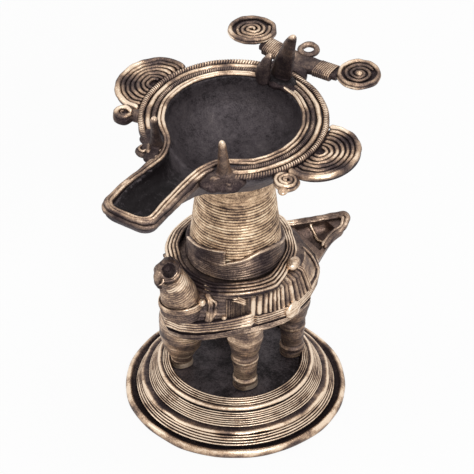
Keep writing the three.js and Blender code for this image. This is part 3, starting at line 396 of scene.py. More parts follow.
def remeshed(bm, cell, rounds):
    """Flows touching meshes into one smooth skin, as pressed wax does."""
    mesh = bpy.data.meshes.new("rough")
    bm.to_mesh(mesh)
    bm.free()
    rough = new_object("rough", mesh)
    cells = rough.modifiers.new("cells", "REMESH")
    cells.mode = "VOXEL"
    cells.voxel_size = cell
    soften = rough.modifiers.new("soften", "SMOOTH")
    soften.factor = 0.5
    soften.iterations = rounds
    bpy.context.view_layer.update()
    ready = rough.evaluated_get(bpy.context.evaluated_depsgraph_get())
    smooth = bmesh.new()
    smooth.from_mesh(ready.to_mesh())
    ready.to_mesh_clear()
    bpy.data.objects.remove(rough)
    bpy.data.meshes.remove(mesh)
    if "polish" not in smooth.verts.layers.float.keys():
        smooth.verts.layers.float.new("polish")
    return smooth


def packed_copy(name, turn=0.0):
    """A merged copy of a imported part, in millimetres, turned back by turn degrees."""
    bm = bmesh.new()
    bm.from_mesh(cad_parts[name].data)
    bmesh.ops.remove_doubles(bm, verts=bm.verts, dist=1e-6)
    bmesh.ops.transform(bm, matrix=Matrix.Rotation(math.radians(-turn), 4, "Z"), verts=bm.verts)
    bmesh.ops.scale(bm, vec=(1 / MM, 1 / MM, 1 / MM), verts=bm.verts)
    return bm


def joined(*meshes):
    """Several meshes as one piece."""
    whole, _ = polished_mesh()
    for bm in meshes:
        scratch = bpy.data.meshes.new("scratch")
        bm.to_mesh(scratch)
        bm.free()
        whole.from_mesh(scratch)
        bpy.data.meshes.remove(scratch)
    return whole


def lamp_piece(bm, name, finish, replaces, turn=0.0, shift=(0, 0, 0)):
    """Puts a mesh that was made in millimetres in its place on the lamp."""
    place = Matrix.Translation(shift) @ Matrix.Rotation(math.radians(turn), 4, "Z")
    bmesh.ops.transform(bm, matrix=place, verts=bm.verts)
    bmesh.ops.scale(bm, vec=(MM, MM, MM), verts=bm.verts)
    mesh = bpy.data.meshes.new(name)
    bm.to_mesh(mesh)
    bm.free()
    mesh.shade_smooth()
    mesh.set_sharp_from_angle(angle=math.radians(55))
    mesh.materials.append(finish)
    obj = new_object(name, mesh)
    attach(obj, "root")
    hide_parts(*replaces)
    print(f"{name}: {len(mesh.polygons)} faces")
    return obj


# %% [markdown]
# ## Wires and ropes
# A wire follows a smooth path. A rope is the same wire with a twist pressed into it.
# Curve objects could do both, but a rolled sheet lets the polish follow the crest,
# because the point that faces away from the metal behind it is the one hands rub. Where
# that side leans towards the camera and the front lamp, its lightness is a painted highlight.

# %% A smooth path, and a wire or rope along it
# painted highlight: wires laid with this as up are painted lightest on the side that leans towards the camera
# and the front lamp
HIGHLIGHT_SIDE = Vector((0.35, -0.5, 0.79)).normalized()


def smooth_path(points, spacing, closed=False):
    """Catmull-Rom points through the given ones, evenly spaced along the path."""
    points = [Vector(p) for p in points]
    n = len(points)
    raw = []
    for k in range(n if closed else n - 1):
        if closed:
            p0, p1, p2, p3 = (points[(k + i - 1) % n] for i in range(4))
        else:
            p0, p1, p2, p3 = (points[min(max(k + i - 1, 0), n - 1)] for i in range(4))
        for i in range(12):
            t = i / 12
            raw.append(0.5 * (2 * p1 + (p2 - p0) * t + (2 * p0 - 5 * p1 + 4 * p2 - p3) * t * t
                              + (3 * p1 - p0 - 3 * p2 + p3) * t ** 3))
    raw.append(points[0].copy() if closed else points[-1].copy())
    lengths = [0.0]
    for a, b in zip(raw, raw[1:]):
        lengths.append(lengths[-1] + (b - a).length)
    count = max(4, round(lengths[-1] / spacing))
    path, k = [], 0
    for i in range(count + 1):
        s = lengths[-1] * i / count
        while k < len(raw) - 2 and lengths[k + 1] < s:
            k += 1
        span = lengths[k + 1] - lengths[k]
        path.append(raw[k].lerp(raw[k + 1], (s - lengths[k]) / span if span else 0))
    return path


def wire(path, radius, up=Vector((0, 0, 1)), sides=10, closed=False, twist=0.0, bite=0.0, thin=None,
         rub=1.0, flat=1.0):
    """up is the side painted lightest, or a function of a point: the rubbed crest, and a painted highlight
    where up leans towards the camera; twist is notches per mm; flat scales its height.
    """
    rows = len(path) - 1
    frames = []
    for i, p in enumerate(path):
        if closed:
            tangent = path[(i + 1) % rows] - path[(i - 1) % rows]
        else:
            tangent = path[min(i + 1, rows)] - path[max(i - 1, 0)]
        tangent.normalize()
        side = tangent.cross(up(p) if callable(up) else up).normalized()
        frames.append((p, side, side.cross(tangent)))
    length = sum((b - a).length for a, b in zip(path, path[1:]))

    def place(u, v):
        p, side, top = frames[round(u * rows)]
        angle = v * TAU
        r = radius * (thin(u) if thin else 1)
        notch = 0.5 + 0.5 * math.cos(2 * angle - u * length * twist * TAU) if twist else 1
        r *= 1 - bite * (1 - notch)
        if not closed:
            r *= max(0.04, min(1, u * length / radius, (1 - u) * length / radius)) ** 0.5
        shine = (0.5 + 0.5 * math.sin(angle)) ** 1.6 * rub * (0.15 + 0.85 * notch)
        return p + side * (r * math.cos(angle)) + top * (r * flat * math.sin(angle)), shine

    return rolled_sheet(rows, sides, place, capped=not closed)


# %% [markdown]
# ## The stand
# The stand is a flared foot with a rolled lip, bands of thread wound up its slope and
# a flat floor inside. Each band is spun from its own section. The lip is worn pale and
# has small dents, and the channel behind it keeps its black.

# %% Wind the stand
FRONT_LEFT = 56  # degrees clockwise from the x axis to the side that the camera sees


def painted_front_light(bm, least, most):
    """Painted light: the side that faces the camera and the front lamp is painted lighter than the back and
    the flanks.
    """
    polish = bm.verts.layers.float["polish"]
    for v in bm.verts:
        front = 0.5 + 0.5 * math.cos(math.atan2(v.co.y, v.co.x) + math.radians(FRONT_LEFT))
        v[polish] *= least + (most - least) * front ** 1.3
    return bm


lip = [(43.6, 0.1, 0), (49.2, 0.05, 0.2), (49.9, 0.8, 0.5), (50.1, 1.9, 0.7), (49.9, 3.0, 0.9),
       (49.3, 3.8, 1.0), (48.6, 4.1, 0.9), (47.9, 3.9, 0.5), (47.4, 3.3, 0.12), (46.4, 2.5, 0.02),
       (43.6, 1.9, 0)]
# painted light: the lip's side towards the camera and the front lamp is painted lighter
lip_ring = painted_front_light(by_hand(spun(lip, 220), 0.5, 15, 9, 0.6), 0.78, 1.1)
for v in lip_ring.verts:
    v.co.z = max(v.co.z, 0.0)
lamp_piece(lip_ring, "stand_lip", bright, ["base_lip_ring"])
BANDS = (("lower", (45.3, 3.6), (42.4, 7.7), 4, 2.2, 0.2, 1.3),
         ("upper", (39.6, 10.0), (35.4, 15.4), 7, 1.7, 0.22, 1.35),
         ("inner", (33.4, 17.6), (30.2, 19.8), 4, 1.0, 0.2, 1.3))
for level, start, end, threads, depth, uneven, most in BANDS:
    winding = by_hand(spun(wound_section(start, end, threads, depth)), uneven)
    # painted light: each band's side towards the camera and the front lamp is painted lighter
    lamp_piece(painted_front_light(winding, 0.85, most), f"stand_{level}_winding", bright, [f"base_{level}_coil"])
middle_section = [(39.6, 7.8, 0), (41.6, 7.7, 0.1), (42.6, 8.1, 0.8), (42.8, 8.7, 1.15), (42.2, 9.3, 1.0),
                  (41.2, 9.5, 0.3), (38.6, 9.6, 0)]
# painted light: the ring's side towards the camera and the front lamp is painted lighter
middle_ring = painted_front_light(by_hand(spun(middle_section), 0.5, 12, 3, 0.7), 0.85, 1.1)
lamp_piece(middle_ring, "stand_middle_thread", bright, ["base_middle_ring"])
top_section = [(33.4, 15.9, 0), (34.9, 15.9, 0.1), (35.5, 16.4, 0.8), (35.4, 17.1, 1.2), (34.7, 17.6, 1.1),
               (34.0, 17.7, 0.4), (33.0, 17.3, 0)]
top_ring = by_hand(spun(top_section), 0.25, 13, 3)
lamp_piece(top_ring, "stand_top_thread", bright, ["base_top_ring"])
FLOOR_RADIUS = 29.2
floor_section = [(0, 15.2, 0), (29.0, 15.2, 0), (FLOOR_RADIUS, 16.9, 0.25)]
floor_section += [(FLOOR_RADIUS * (1 - i / 24), 16.85, 0.22) for i in range(1, 25)]
stand_floor = by_hand(spun(floor_section, 96, closed=False), 0.16, 4, 4)
lamp_piece(stand_floor, "stand_floor", sooty, ["base_floor"])
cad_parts["base_shell"].data.materials.clear()
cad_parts["base_shell"].data.materials.append(sooty)

# %% [markdown]
# ## The legs
# Four legs carry the bird. Three are turned cones with a pale foot, a ring at the ankle
# and a smoother thigh that runs into the belly, and the front right one bulges. They are
# spun upright and moved out to their places, and the front feet lean a little.

# %% Stand the legs
LEG_FLOOR, LEAN_HEIGHT, REAR_SHADE = 17.0, 28, 0.72


def leg_section(shape, foot, ankle):
    """shape gives (height, radius) pairs up the leg; the foot and the ankle get a bright ring."""
    section = [(0, 0, 0), (shape[0][1] - 0.3, 0, 0.3)]
    for (z0, r0), (z1, r1) in zip(shape, shape[1:]):
        steps = max(2, round((z1 - z0) / 0.35))
        for i in range(steps):
            f = i / steps
            z = z0 + (z1 - z0) * f
            crest = thread_height(z / 1.5, 1, 0.8)
            at_ring = max(bell(z - foot, 0.55), bell(z - ankle, 0.45))
            shine = 0.5 + 0.2 * crest + 0.55 * at_ring + 0.42 * (z < foot - 0.6)
            section.append((r0 + (r1 - r0) * f + 0.1 * crest + 0.35 * at_ring, z, shine))
    section += [(shape[-1][1], shape[-1][0], 0.3), (0, shape[-1][0], 0)]
    return section


TURNED = ((0.4, 5.7), (4.0, 5.5), (6.0, 4.8), (18.2, 6.0), (19.6, 5.7), (30, 8.2), (38, 8.2))
BULGED = ((0.4, 5.2), (3.4, 4.6), (7, 5.4), (13, 8.4), (20, 10.2), (30, 10.6), (36, 9.4), (40, 6.0),
          (41.5, 1.5))
turned = leg_section(TURNED, 4.6, 16.6)
bulged = leg_section(BULGED, 3.6, 7.6)
LEGS = {"leg_front_left": (14.1, -13.2, turned, -1.0, 1.6),
        "leg_front_right": (-16.6, -18.2, bulged, -2.4, 2.6),
        "leg_rear_left": (18.2, 19.0, turned, 0, 0),
        "leg_rear_right": (-14.0, 15.0, turned, 0, 0)}
for name, (x, y, section, foot_x, foot_y) in LEGS.items():
    bm = by_hand(spun(section, 64, closed=False), 0.35, 5 + 0.02 * x, 3, 0.5)
    polish = bm.verts.layers.float["polish"]
    for v in bm.verts:
        lean = max(0, 1 - v.co.z / LEAN_HEIGHT)
        v.co += Vector((foot_x * lean, foot_y * lean, 0))
        v[polish] *= 1.0 if "front" in name else REAR_SHADE
    lamp_piece(bm, "wound_" + name, bright, [name], shift=(x, y, LEG_FLOOR))

# %% [markdown]
# ## Following the bird's body
# Belt, wings and wires all lie on the body. To lay them, a ray is sent from outside
# towards the stem's axis at a given angle and height, and the place where it meets the
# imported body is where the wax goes. That keeps every trim seated on the real solid.

# %% Find the body's surface by rays
BIRD_TURN = -20
BODY_LOW, BODY_HIGH, OUTSIDE = 46.9, 81.1, 90
body = packed_copy("body_shell", BIRD_TURN)
body_tree = BVHTree.FromBMesh(body)
body.free()


def on_body(angle, z, lift=0.0):
    """The body's surface at an angle in degrees and a height, in the bird's own frame."""
    out = polar(1, math.radians(angle))
    level = min(max(z, BODY_LOW), BODY_HIGH)
    hit = body_tree.ray_cast(out * OUTSIDE + Vector((0, 0, level)), -out)[0]
    return out * (hit.xy.length + lift) + Vector((0, 0, z))


def on_bird(bm, name, finish, part):
    return lamp_piece(bm, name, finish, [part], turn=BIRD_TURN)


print("body radius at the left flank", round(on_body(0, 65).xy.length, 1), "mm")

# %% [markdown]
# ## The body
# The belly is wound with fine dark wire that swirls up towards the tail, and the
# shoulder is smoother. One rolled sheet goes right round. A slanted wave in its
# thickness is the winding.

# %% Wind the body
BELLY_TOP = 62


def shade_at(angle, middle, width):
    """1 at the middle angle, falling to 0 at width degrees from it."""
    return max(0, 1 - abs((angle - middle + 180) % 360 - 180) / width)


def body_skin(u, v):
    angle, z = u * 360, BODY_LOW + 0.05 + v * (BODY_HIGH - BODY_LOW - 0.1)
    belly = clamp((BELLY_TOP - z) / 5)
    swirl = z / 1.7 + belly * 5 * math.cos(math.radians(angle + 40))
    crest = thread_height(swirl, 1, 0.6)
    # painted shade: the front under the breast is painted darker
    shine = 0.3 + belly * (0.3 * crest - 0.06) + 0.12 * crest - 0.12 * shade_at(angle, -90, 60)
    return on_body(angle, z, 0.15 + 0.4 * crest), shine


winding = by_hand(rolled_sheet(220, 130, body_skin, capped=True), 0.14, 8, 2)
on_bird(winding, "wound_body", brown, "body_shell")

# %% [markdown]
# ## The belt
# A belt of four threads runs round the body at its widest, and a second strip starts
# beside the first one's cut end, where the maker joined the next length of wax. The cut
# end stands proud and shines. Two darker bands swirl under it across the belly.

# %% Lay the belt
CUT = -18


def slope(angle, a0, a1, z0, z1):
    """A height that runs from z0 at a0 to z1 at a1 and stays level beyond them."""
    return z0 + (z1 - z0) * clamp((angle - a0) / (a1 - a0))


def sloped(*ends):
    return lambda angle: slope(angle, *ends)


def band_on_body(a0, a1, low, high, threads, lift, fade):
    """A band of threads laid round the body; low and high are heights by angle."""
    columns = threads * PER_THREAD + 2
    rows = max(24, int(abs(a1 - a0) * 1.1))

    def place(u, v):
        angle = a0 + (a1 - a0) * u
        k = round(v * (columns + 1))
        z0, z1 = low(angle), high(angle)
        if k > columns or k == 0:
            return on_body(angle, z0, -0.9), 0
        if k == columns:
            return on_body(angle, z1, -0.9), 0
        f = (k - 1) / (columns - 2)
        crest = thread_height(f, threads)
        tuck = min(1, u * 40, (1 - u) * 40)
        shine = crest ** 2 + fade(angle, f)
        return on_body(angle, z0 + (z1 - z0) * f, lift * tuck - BAND_RELIEF * (1 - crest)), shine

    return rolled_sheet(rows, columns + 1, place, capped=True)


def front_shine(angle, f):
    """The cut end is rubbed, and the stretch under the breast is painted dark, as painted shade."""
    return 0.12 - 0.1 * f + 0.8 * max(0, 1 - (CUT - angle) / 15) - 0.35 * max(0, 1 - abs(angle + 54) / 20)


wavy = lambda angle: 62.6 + 0.4 * math.sin(math.radians(angle * 3))
front_belt = band_on_body(-236, CUT, wavy, sloped(-45, CUT, 68.2, 69.6), 4, 2.3, front_shine)
rear_belt = band_on_body(CUT - 2, 100, sloped(-15, 60, 62.0, 65.0), sloped(-15, 60, 67.0, 70.0), 4, 1.6,
                         lambda a, f: 0.1 * f)
far_belt = band_on_body(95, 126, lambda a: 63.5, lambda a: 68.5, 4, 1.8, lambda a, f: 0)
belts = [by_hand(band, 0.16) for band in (front_belt, rear_belt, far_belt)]
on_bird(joined(*belts), "body_belt", bright, "belt")
# painted shade: the upper swirl is painted darker at the front, under the breast
upper_swirl = band_on_body(-110, 40, sloped(-70, 30, 52.6, 58.0), sloped(-70, 30, 57.8, 62.2), 5, 1.3,
                           lambda a, f: -0.35 + 0.45 * slope(a, -62, -42, 0, 1))
lower_swirl = band_on_body(-140, -20, sloped(-90, -20, 54.4, 58.6), sloped(-90, -20, 59.0, 61.8), 4, 1.7,
                           lambda a, f: -0.15)
on_bird(by_hand(joined(upper_swirl, lower_swirl), 0.18), "belly_winding", brown, "belly_band")
stud = by_hand(ball(4.0, on_body(13.5, 64.7, 1.5), 0.98, (0.5, 1.22, 1.05), 14), 0.4, 2.5, 2.5, 0.15)
on_bird(stud, "belt_stud", bright, "belt_boss")

# %% [markdown]
# ## Wings and flank
# The wing is a row of upright wires, fat and bright at the front and darker behind, then
# two posts and a smooth plate. Ahead of it lies a panel of much finer wire, a small leaf
# and a ragged seam where the neck's wax was pressed against the body. Both sides of the
# bird get the same work.

# %% Upright bars on the body
BAR_ROWS = 12


def bars_on_body(edges, low, high, thickness, shine_at, per_bar=8):
    """edges are the angles between neighbouring bars; shine_at(bar, f) is each bar's polish up its height."""
    bars = len(edges) - 1
    columns = bars * per_bar

    def place(u, v):
        k = round(v * columns)
        bar = min(bars - 1, k // per_bar)
        t = k / per_bar - bar
        angle = edges[bar] + (edges[bar + 1] - edges[bar]) * t
        crest = thread_height(t, 1, 0.6)
        f = clamp((u - 0.08) / 0.84)
        border = -1.5 if u in (0, 1) or v in (0, 1) else 0
        point = on_body(angle, low + (high - low) * f, thickness * (0.15 + 0.85 * crest) + border)
        return point, crest ** 1.3 * shine_at(bar, f)

    return rolled_sheet(BAR_ROWS, columns, place)


def bar_edges(a0, a1, count, unevenness):
    """Angles of uneven bars: the first are wide and the rest narrow."""
    widths = [1.5 if i < 2 else 1 + unevenness * noise.noise(Vector((i * 1.7, 0.3, 9))) for i in range(count)]
    total = sum(widths)
    return [a0 + (a1 - a0) * sum(widths[:i]) / total for i in range(count + 1)]


def wing_shine(bar, f):
    mood = 0.5 + 0.5 * math.sin(bar * 2.4 + 0.9)
    near_front = max(0, 1 - bar / 11)
    return 0.34 + 0.68 * near_front + (0.45 * mood + 0.1) * (1 - 0.35 * f)


def fine_shine(bar, f):
    return 0.42 + 0.14 * (bar % 3 == 0)


# %% [markdown]
# ## One wing, made twice
# Angles are counted from the bird's left flank. The right wing uses the same angles
# turned about, so one loop lays both. The seam is three uneven wires side by side.

# %% Lay the wings
SEAM = ((-63, 81.5), (-58.8, 79.2), (-55.0, 77.0), (-54.2, 73.2), (-54.8, 70.2), (-56.0, 68.0))
LEAF = ((-38.5, 80.2), (-33, 79.4), (-27.5, 77.4))
PLATE_EDGE = ((61, 79.8), (59, 76.0), (57, 71.5), (54.5, 69.0))
outwards = lambda p: Vector((p.x, p.y, 8)).normalized()
seam_swell = lambda u: 0.9 + 0.2 * math.sin(u * 9)
for side, name in ((1, "left_wing"), (-1, "right_wing")):
    about = (lambda a: a) if side == 1 else (lambda a: 180 - a)

    def plate_place(u, v):
        inside = 0 < u < 1 and 0 < v < 1
        return on_body(about(36.5 + 21 * v), 69.5 + 10.4 * u, 0.8 if inside else -0.6), 0.7

    bars = bars_on_body([about(a) for a in bar_edges(-24, 31, 12, 0.9)], 67.8, 80.4, 1.5, wing_shine)
    fine = bars_on_body([about(a) for a in bar_edges(-44, -25, 13, 0.2)], 68.6, 78.4, 1.0, fine_shine, 6)
    posts = bars_on_body([about(a) for a in (31.5, 34, 36)], 68.2, 80.8, 2.0, lambda bar, f: 0.8)
    plate = by_hand(rolled_sheet(16, 12, plate_place), 0.1)
    line = smooth_path([on_body(about(a), z, 1.0) for a, z in PLATE_EDGE], 0.5)
    trims = [wire(line, 0.75, up=outwards, rub=0.95)]
    trims.append(ball(1.3, on_body(about(-45), 68.9, 0.6), 0.85, (1, 1, 0.8)))
    for shift, thick, bend in ((-1.4, 1.1, 0.5), (0.6, 1.2, 0.7), (2.6, 0.9, -0.6)):
        line = [on_body(about(a + shift + bend * math.sin(k * 1.9)), z, 1.0) for k, (a, z) in enumerate(SEAM)]
        strand = wire(smooth_path(line, 0.5), thick, up=outwards, thin=seam_swell, rub=0.66)
        trims.append(by_hand(strand, 0.7, 2.2, 2.2, 1.2))
    for k in range(3):
        line = [on_body(about(a), z - 1.0 * k, 0.7 + 0.3 * k) for a, z in LEAF]
        strand = wire(smooth_path(line, 0.4), 0.75, up=outwards, thin=lambda u: 0.5 + 0.5 * u, rub=0.85)
        trims.append(by_hand(strand, 0.3, 1.5, 1.5, 0.4))
    whole = joined(by_hand(bars, 0.14, 3, 5, 0.5, 0.1), fine, posts, plate, *trims)
    on_bird(whole, "wound_" + name, bright, name)

# %% [markdown]
# ## The collar round the stem
# Four threads lie round the foot of the stem on the bird's back. They are drawn in at
# the bird's left flank, where a rubbed knob ends them, and are painted dark behind the
# neck, as painted shade in the shadow between the neck and the stem.

# %% Lay the collar
def collar_skin(u, v):
    threads, columns = 4, 28
    degrees, k = 360 * u, round(v * 31)
    angle = math.radians(degrees)
    wave = 0.6 * noise.noise(polar(3, angle, 0.4))
    drawn_in = 2.8 * min(1, 2 * shade_at(degrees, 50, 50))
    inner, outer = 25.2 + wave - drawn_in, 31.6 + wave - 1.5 * drawn_in
    # weight behind the neck: it sinks the threads there and paints them dark, as painted shade
    neck = min(1, 1.6 * shade_at(degrees, 288, 45))
    if k > columns + 1:
        return polar(inner, angle, 81.6), 0
    if k == columns + 1:
        return polar(outer - 0.4, angle, 79.8), 0
    f = k / columns
    crest = thread_height(f, threads)
    z = 84.2 - 2.6 * f ** 1.6 + 0.7 * (crest - 1) - 1.2 * neck
    shine = crest ** 1.4 * (0.72 + 0.46 * f) * (1 - 0.93 * neck)
    return polar(inner + (outer - inner) * f + 0.3 * crest, angle, z), shine


collar = by_hand(rolled_sheet(260, 31, collar_skin), 0.22, 9, 1.4)
knob = by_hand(ball(2.9, (23.9, 14.6, 82.3), 0.8, (1.0, 1.5, 0.85), 30), 0.4, 2.5, 2.5, 0.3)
on_bird(joined(collar, knob), "back_winding", bright, "back_collar")

# %% [markdown]
# ## The neck
# The neck is a cone of thread that leans out over the front. A three-thread necklace
# with a bead end lies round its foot. The cone is one rolled sheet whose rings tilt
# more the higher they lie.

# %% Wind the neck
NECK_SIDE = 7.7


def neck_line(f):
    return Vector((NECK_SIDE, -34.3 - 7.2 * f ** 1.35, 68.8 + 23.7 * f)), 9.9 - 4.6 * f ** 1.2


def neck_skin(u, v):
    centre, r = neck_line(v)
    angle = u * TAU
    tilt = v * 0.42
    crest = thread_height(v - 0.07 * math.cos(angle - 0.94), 20, 0.6)
    smooth_zone = max(0, 1 - abs(v - 0.42) / 0.1)
    top_arcs = 0.55 if 0.8 < v < 0.9 and math.cos(angle - 0.3) > 0.2 else 0
    x, y, _ = polar(r + 0.35 * crest * (1 - 0.8 * smooth_zone), angle)
    shine = (0.26 + 0.5 * crest) * (1 - smooth_zone) + 0.6 * smooth_zone + top_arcs * crest
    if v < 0.22:
        shine *= 0.45
    return centre + Vector((x, y * math.cos(tilt), y * math.sin(tilt))), shine


neck = by_hand(rolled_sheet(72, 140, neck_skin, capped=True), 0.15, 5, 2, 0.5)
on_bird(neck, "wound_neck", bright, "neck")


def necklace_thread(k):
    centre, r = neck_line(0.2 + 0.043 * k)
    angles = [math.radians(-160 + 190 * i / 36) for i in range(37)]
    path = smooth_path([centre + polar(r + 0.9, a, 1.3 * math.cos(a)) for a in angles], 0.5)
    away = lambda p: Vector((p.x - NECK_SIDE, p.y + 36, 2.0)).normalized()
    thread = wire(path, 0.65, up=away, thin=lambda u: 0.7 + 0.4 * u, rub=0.7 + 0.12 * k)
    return by_hand(thread, 0.2, 4, 2, 0.9)


bead = ball(1.7, (17.0, -30.8, 77.2), 1.0, (1, 1, 1.1))
necklace = joined(*(necklace_thread(k) for k in range(3)), bead)
on_bird(necklace, "neck_ring", bright, "necklace")

# %% [markdown]
# ## The head
# The head is a ball of wire with a dark hollow eye on each side and a curled beak. The
# hollow is pressed into the ball along the eye's axis, and arcs of wire lie round it.

# %% Shape the head, the eyes and the beak
HEAD = Vector((NECK_SIDE, -43.1, 96.4))
HOLLOW_RADIUS, HOLLOW_DEPTH = 3.3, 3.4


def eye_axis(side):
    return Vector((side * 0.80, -0.34, 0.50)).normalized()


def rings_on_head(side):
    """Arcs of wire below and behind a dark hollow, on one side of the head."""
    axis = eye_axis(side)
    across = axis.cross(Vector((0, 0, 1))).normalized() * side
    below = (Vector((0, 0, -1)) + axis * axis.z).normalized()
    face = (axis + Vector((0, 0, 0.45))).normalized()
    parts = []
    for radius, rise, thick, rub in ((5.2, 0.2, 0.85, 0.62), (3.6, 1.8, 0.75, 0.9)):
        centre = HEAD + axis * (rise + 1.2)
        turns = (math.radians(30 + 5 * i) for i in range(47))
        path = [centre + (across * math.cos(a) + below * math.sin(a)) * radius for a in turns]
        parts.append(by_hand(wire(path, thick, up=face, sides=12, rub=rub), 0.4, 2.5, 2.5, 0.9))
    return joined(*parts)


bm, polish = polished_mesh()
bmesh.ops.create_uvsphere(bm, u_segments=60, v_segments=44, radius=5.5)
bmesh.ops.scale(bm, vec=(0.95, 1.12, 1.0), verts=bm.verts)
for v in bm.verts:
    v[polish] = 0.19 + 0.27 * thread_height((v.co.z + 6) / 12, 9)
    for side in (1, -1):
        depth = v.co.dot(eye_axis(side))
        off = (v.co - eye_axis(side) * depth).length
        if depth > 0 and off < HOLLOW_RADIUS:
            v.co -= eye_axis(side) * (HOLLOW_DEPTH * (1 - (off / HOLLOW_RADIUS) ** 2))
            v[polish] = 0.0
bmesh.ops.translate(bm, vec=HEAD, verts=bm.verts)
on_bird(by_hand(bm, 0.25, 3, 2, 0.4), "wound_head", brown, "head")
for side, name in ((1, "left_eye"), (-1, "right_eye")):
    on_bird(rings_on_head(side), name + "_rings", bright, name)
BEAK = ((0.2, -2.6, 2.0), (0.9, -5.2, 0.4), (1.4, -6.2, -2.4), (2.0, -5.8, -5.2), (2.6, -4.6, -7.2))
beak_path = smooth_path([HEAD + Vector(d) for d in BEAK], 0.35)
beak = wire(beak_path, 2.5, up=HIGHLIGHT_SIDE, sides=18, thin=lambda u: 1 - 0.6 * u, rub=0.4)
beak = by_hand(beak, 0.35, 2.5, 2, 0.8)
sideways, up_face = Vector((0.588, 0.809, 0)), Vector((-0.531, 0.386, 0.755))
nostril = HEAD + Vector((2.9, -5.1, -1.9))
hook = smooth_path([nostril + sideways * a + up_face * b
                    for a, b in ((-1.3, 2.3), (0.2, 1.7), (0.8, 0), (0.2, -1.6), (-1.3, -2.4))], 0.3)
on_bird(joined(beak, wire(hook, 0.5, up=HIGHLIGHT_SIDE, rub=0.8)), "curled_beak", brown, "beak")

# %% [markdown]
# ## The tail
# The tail is a shallow tray that narrows to a blunt tip. Two threads edge it, and ribs
# cross its floor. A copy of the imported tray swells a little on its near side, where the
# real one does, and the edging and ribs are laid on it.

# %% Edge the tail
def blunt(y):
    """How much wider the near side is; it swells towards the tip."""
    return 3.6 * bell(y - 57, 6)


def tail_half(y):
    return 15 * (0.1 + 0.9 * min(max((62 - y) / 24, 0), 1.2)) - 1.2


def tail_edge(y):
    return 69.2 + 3.4 * clamp((y - 38) / 24)


def tail_thread(inset, radius, rub):
    far = [(inset - tail_half(y), y, tail_edge(y)) for y in (35, 40, 45, 50, 55, 59 - inset * 0.6)]
    tip = [(0.6, 61.6 - inset * 1.5, tail_edge(62)), (3.6 - inset * 0.6, 60.6 - inset, tail_edge(61))]
    near = [(blunt(y) - x, y, z) for x, y, z in reversed(far[2:5])]
    near.append((tail_half(41.5) - inset, 41.5, tail_edge(41.5)))
    swell = lambda u: 1 + 0.25 * bell(u - 0.52, 0.1)
    thread = wire(smooth_path(far + tip + near, 0.5), radius, up=HIGHLIGHT_SIDE, sides=12, thin=swell, rub=rub)
    return by_hand(thread, 0.35, 4, 3, 0.8)


edging = joined(tail_thread(0.3, 1.15, 0.7), tail_thread(2.1, 0.85, 0.85))
on_bird(edging, "tail_edging", brown, "tail_border")
tray = packed_copy("tail_tray", BIRD_TURN)
bmesh.ops.subdivide_edges(tray, edges=tray.edges, cuts=3, use_grid_fill=True)
for v in tray.verts:
    v.co.x += blunt(v.co.y) * clamp(v.co.x / 4)
on_bird(joined(tray), "cast_tail", tail_brown, "tail_tray")
RIB = ((-1.0, 46.0, 64.2), (2.0, 46.8, 64.4), (3.6, 47.1, 65.0), (6.0, 47.0, 67.4), (7.3, 46.8, 69.4))
for side, name in ((1, "tail_rib_left"), (-1, "tail_rib_right")):
    path = smooth_path([(side * x, y, z) for x, y, z in RIB], 0.4)
    rib = by_hand(wire(path, 0.9, up=HIGHLIGHT_SIDE, rub=0.95), 0.25, 3, 3, 0.5)
    on_bird(rib, "wound_" + name, bright, name)

# %% [markdown]
# ## The stem
# The stem is wound from the bird's back to the dish with about two dozen threads, the
# most even work on the lamp and the most golden. A cracked plain band closes its top.

# %% Wind the stem
def stem_radius(z):
    return 21.4 + (16.5 - 21.4) * (z - 81.5) / 48.9


stem_section = [(13.0, 81.6, 0), (21.0, 81.6, 0)]
stem_threads, stem_low, stem_high = 25, 81.8, 119.0
for i in range(stem_threads * 8 + 1):
    f = i / (stem_threads * 8)
    z = stem_low + (stem_high - stem_low) * f
    crest = thread_height(f, stem_threads, 0.45)
    own = 0.5 + 0.5 * math.sin(math.floor(f * stem_threads) * 2.3)
    stem_section.append((stem_radius(z) - 0.42 * (1 - crest), z, (0.68 + 0.18 * own) * crest ** 1.4))
stem_section += [(15.9, 119.2, 0), (12.8, 130.3, 0)]
stem = by_hand(spun(stem_section, 240), 0.2, 9, 1.2, 0.35, 0.35)
lamp_piece(stem, "wound_stem", golden, ["stem_core"])

band_section = [(15.7, 119.1, 0)]
for i in range(73):
    f = i / 72
    z = 119.2 + 11.0 * f
    crest = thread_height(f, 8, 0.5)
    fade = max(0, 1 - f * 1.1)
    top_line = bell(f - 0.93, 0.035)
    shine = 0.5 + 0.2 * crest * fade + 0.25 * top_line
    band_section.append((stem_radius(z) + 0.15 - 0.28 * (1 - crest) * fade + 0.25 * top_line, z, shine))
band_section += [(15.7, 130.3, 0)]
stem_band = by_hand(spun(band_section, 240), 0.25, 4, 1.5, 0.25, 0.4)
lamp_piece(stem_band, "stem_plain_band", golden, ["stem_top_band"])

# %% [markdown]
# ## The wrap at the stem's foot
# A wrap of finer dark thread, laid at a slant, covers the foot of the stem. Its upper
# edge is a bright line that climbs at the front. The loose end of a wider strip lies
# over it on the left. Both are rolled sheets that follow the stem's taper.

# %% Wrap the stem's foot
WRAP_TOP = [(-180, 89.5), (-14, 90.5), (-8, 91.8), (6, 92.8), (31, 95.8), (55, 94.3), (76, 91.0), (90, 89.0),
            (110, 88.5), (180, 88.5)]


def wrap_top(rel):
    """The wrap's height, by degrees from the side that faces front and left."""
    for (a0, z0), (a1, z1) in zip(WRAP_TOP, WRAP_TOP[1:]):
        if rel <= a1:
            return slope(rel, a0, a1, z0, z1)


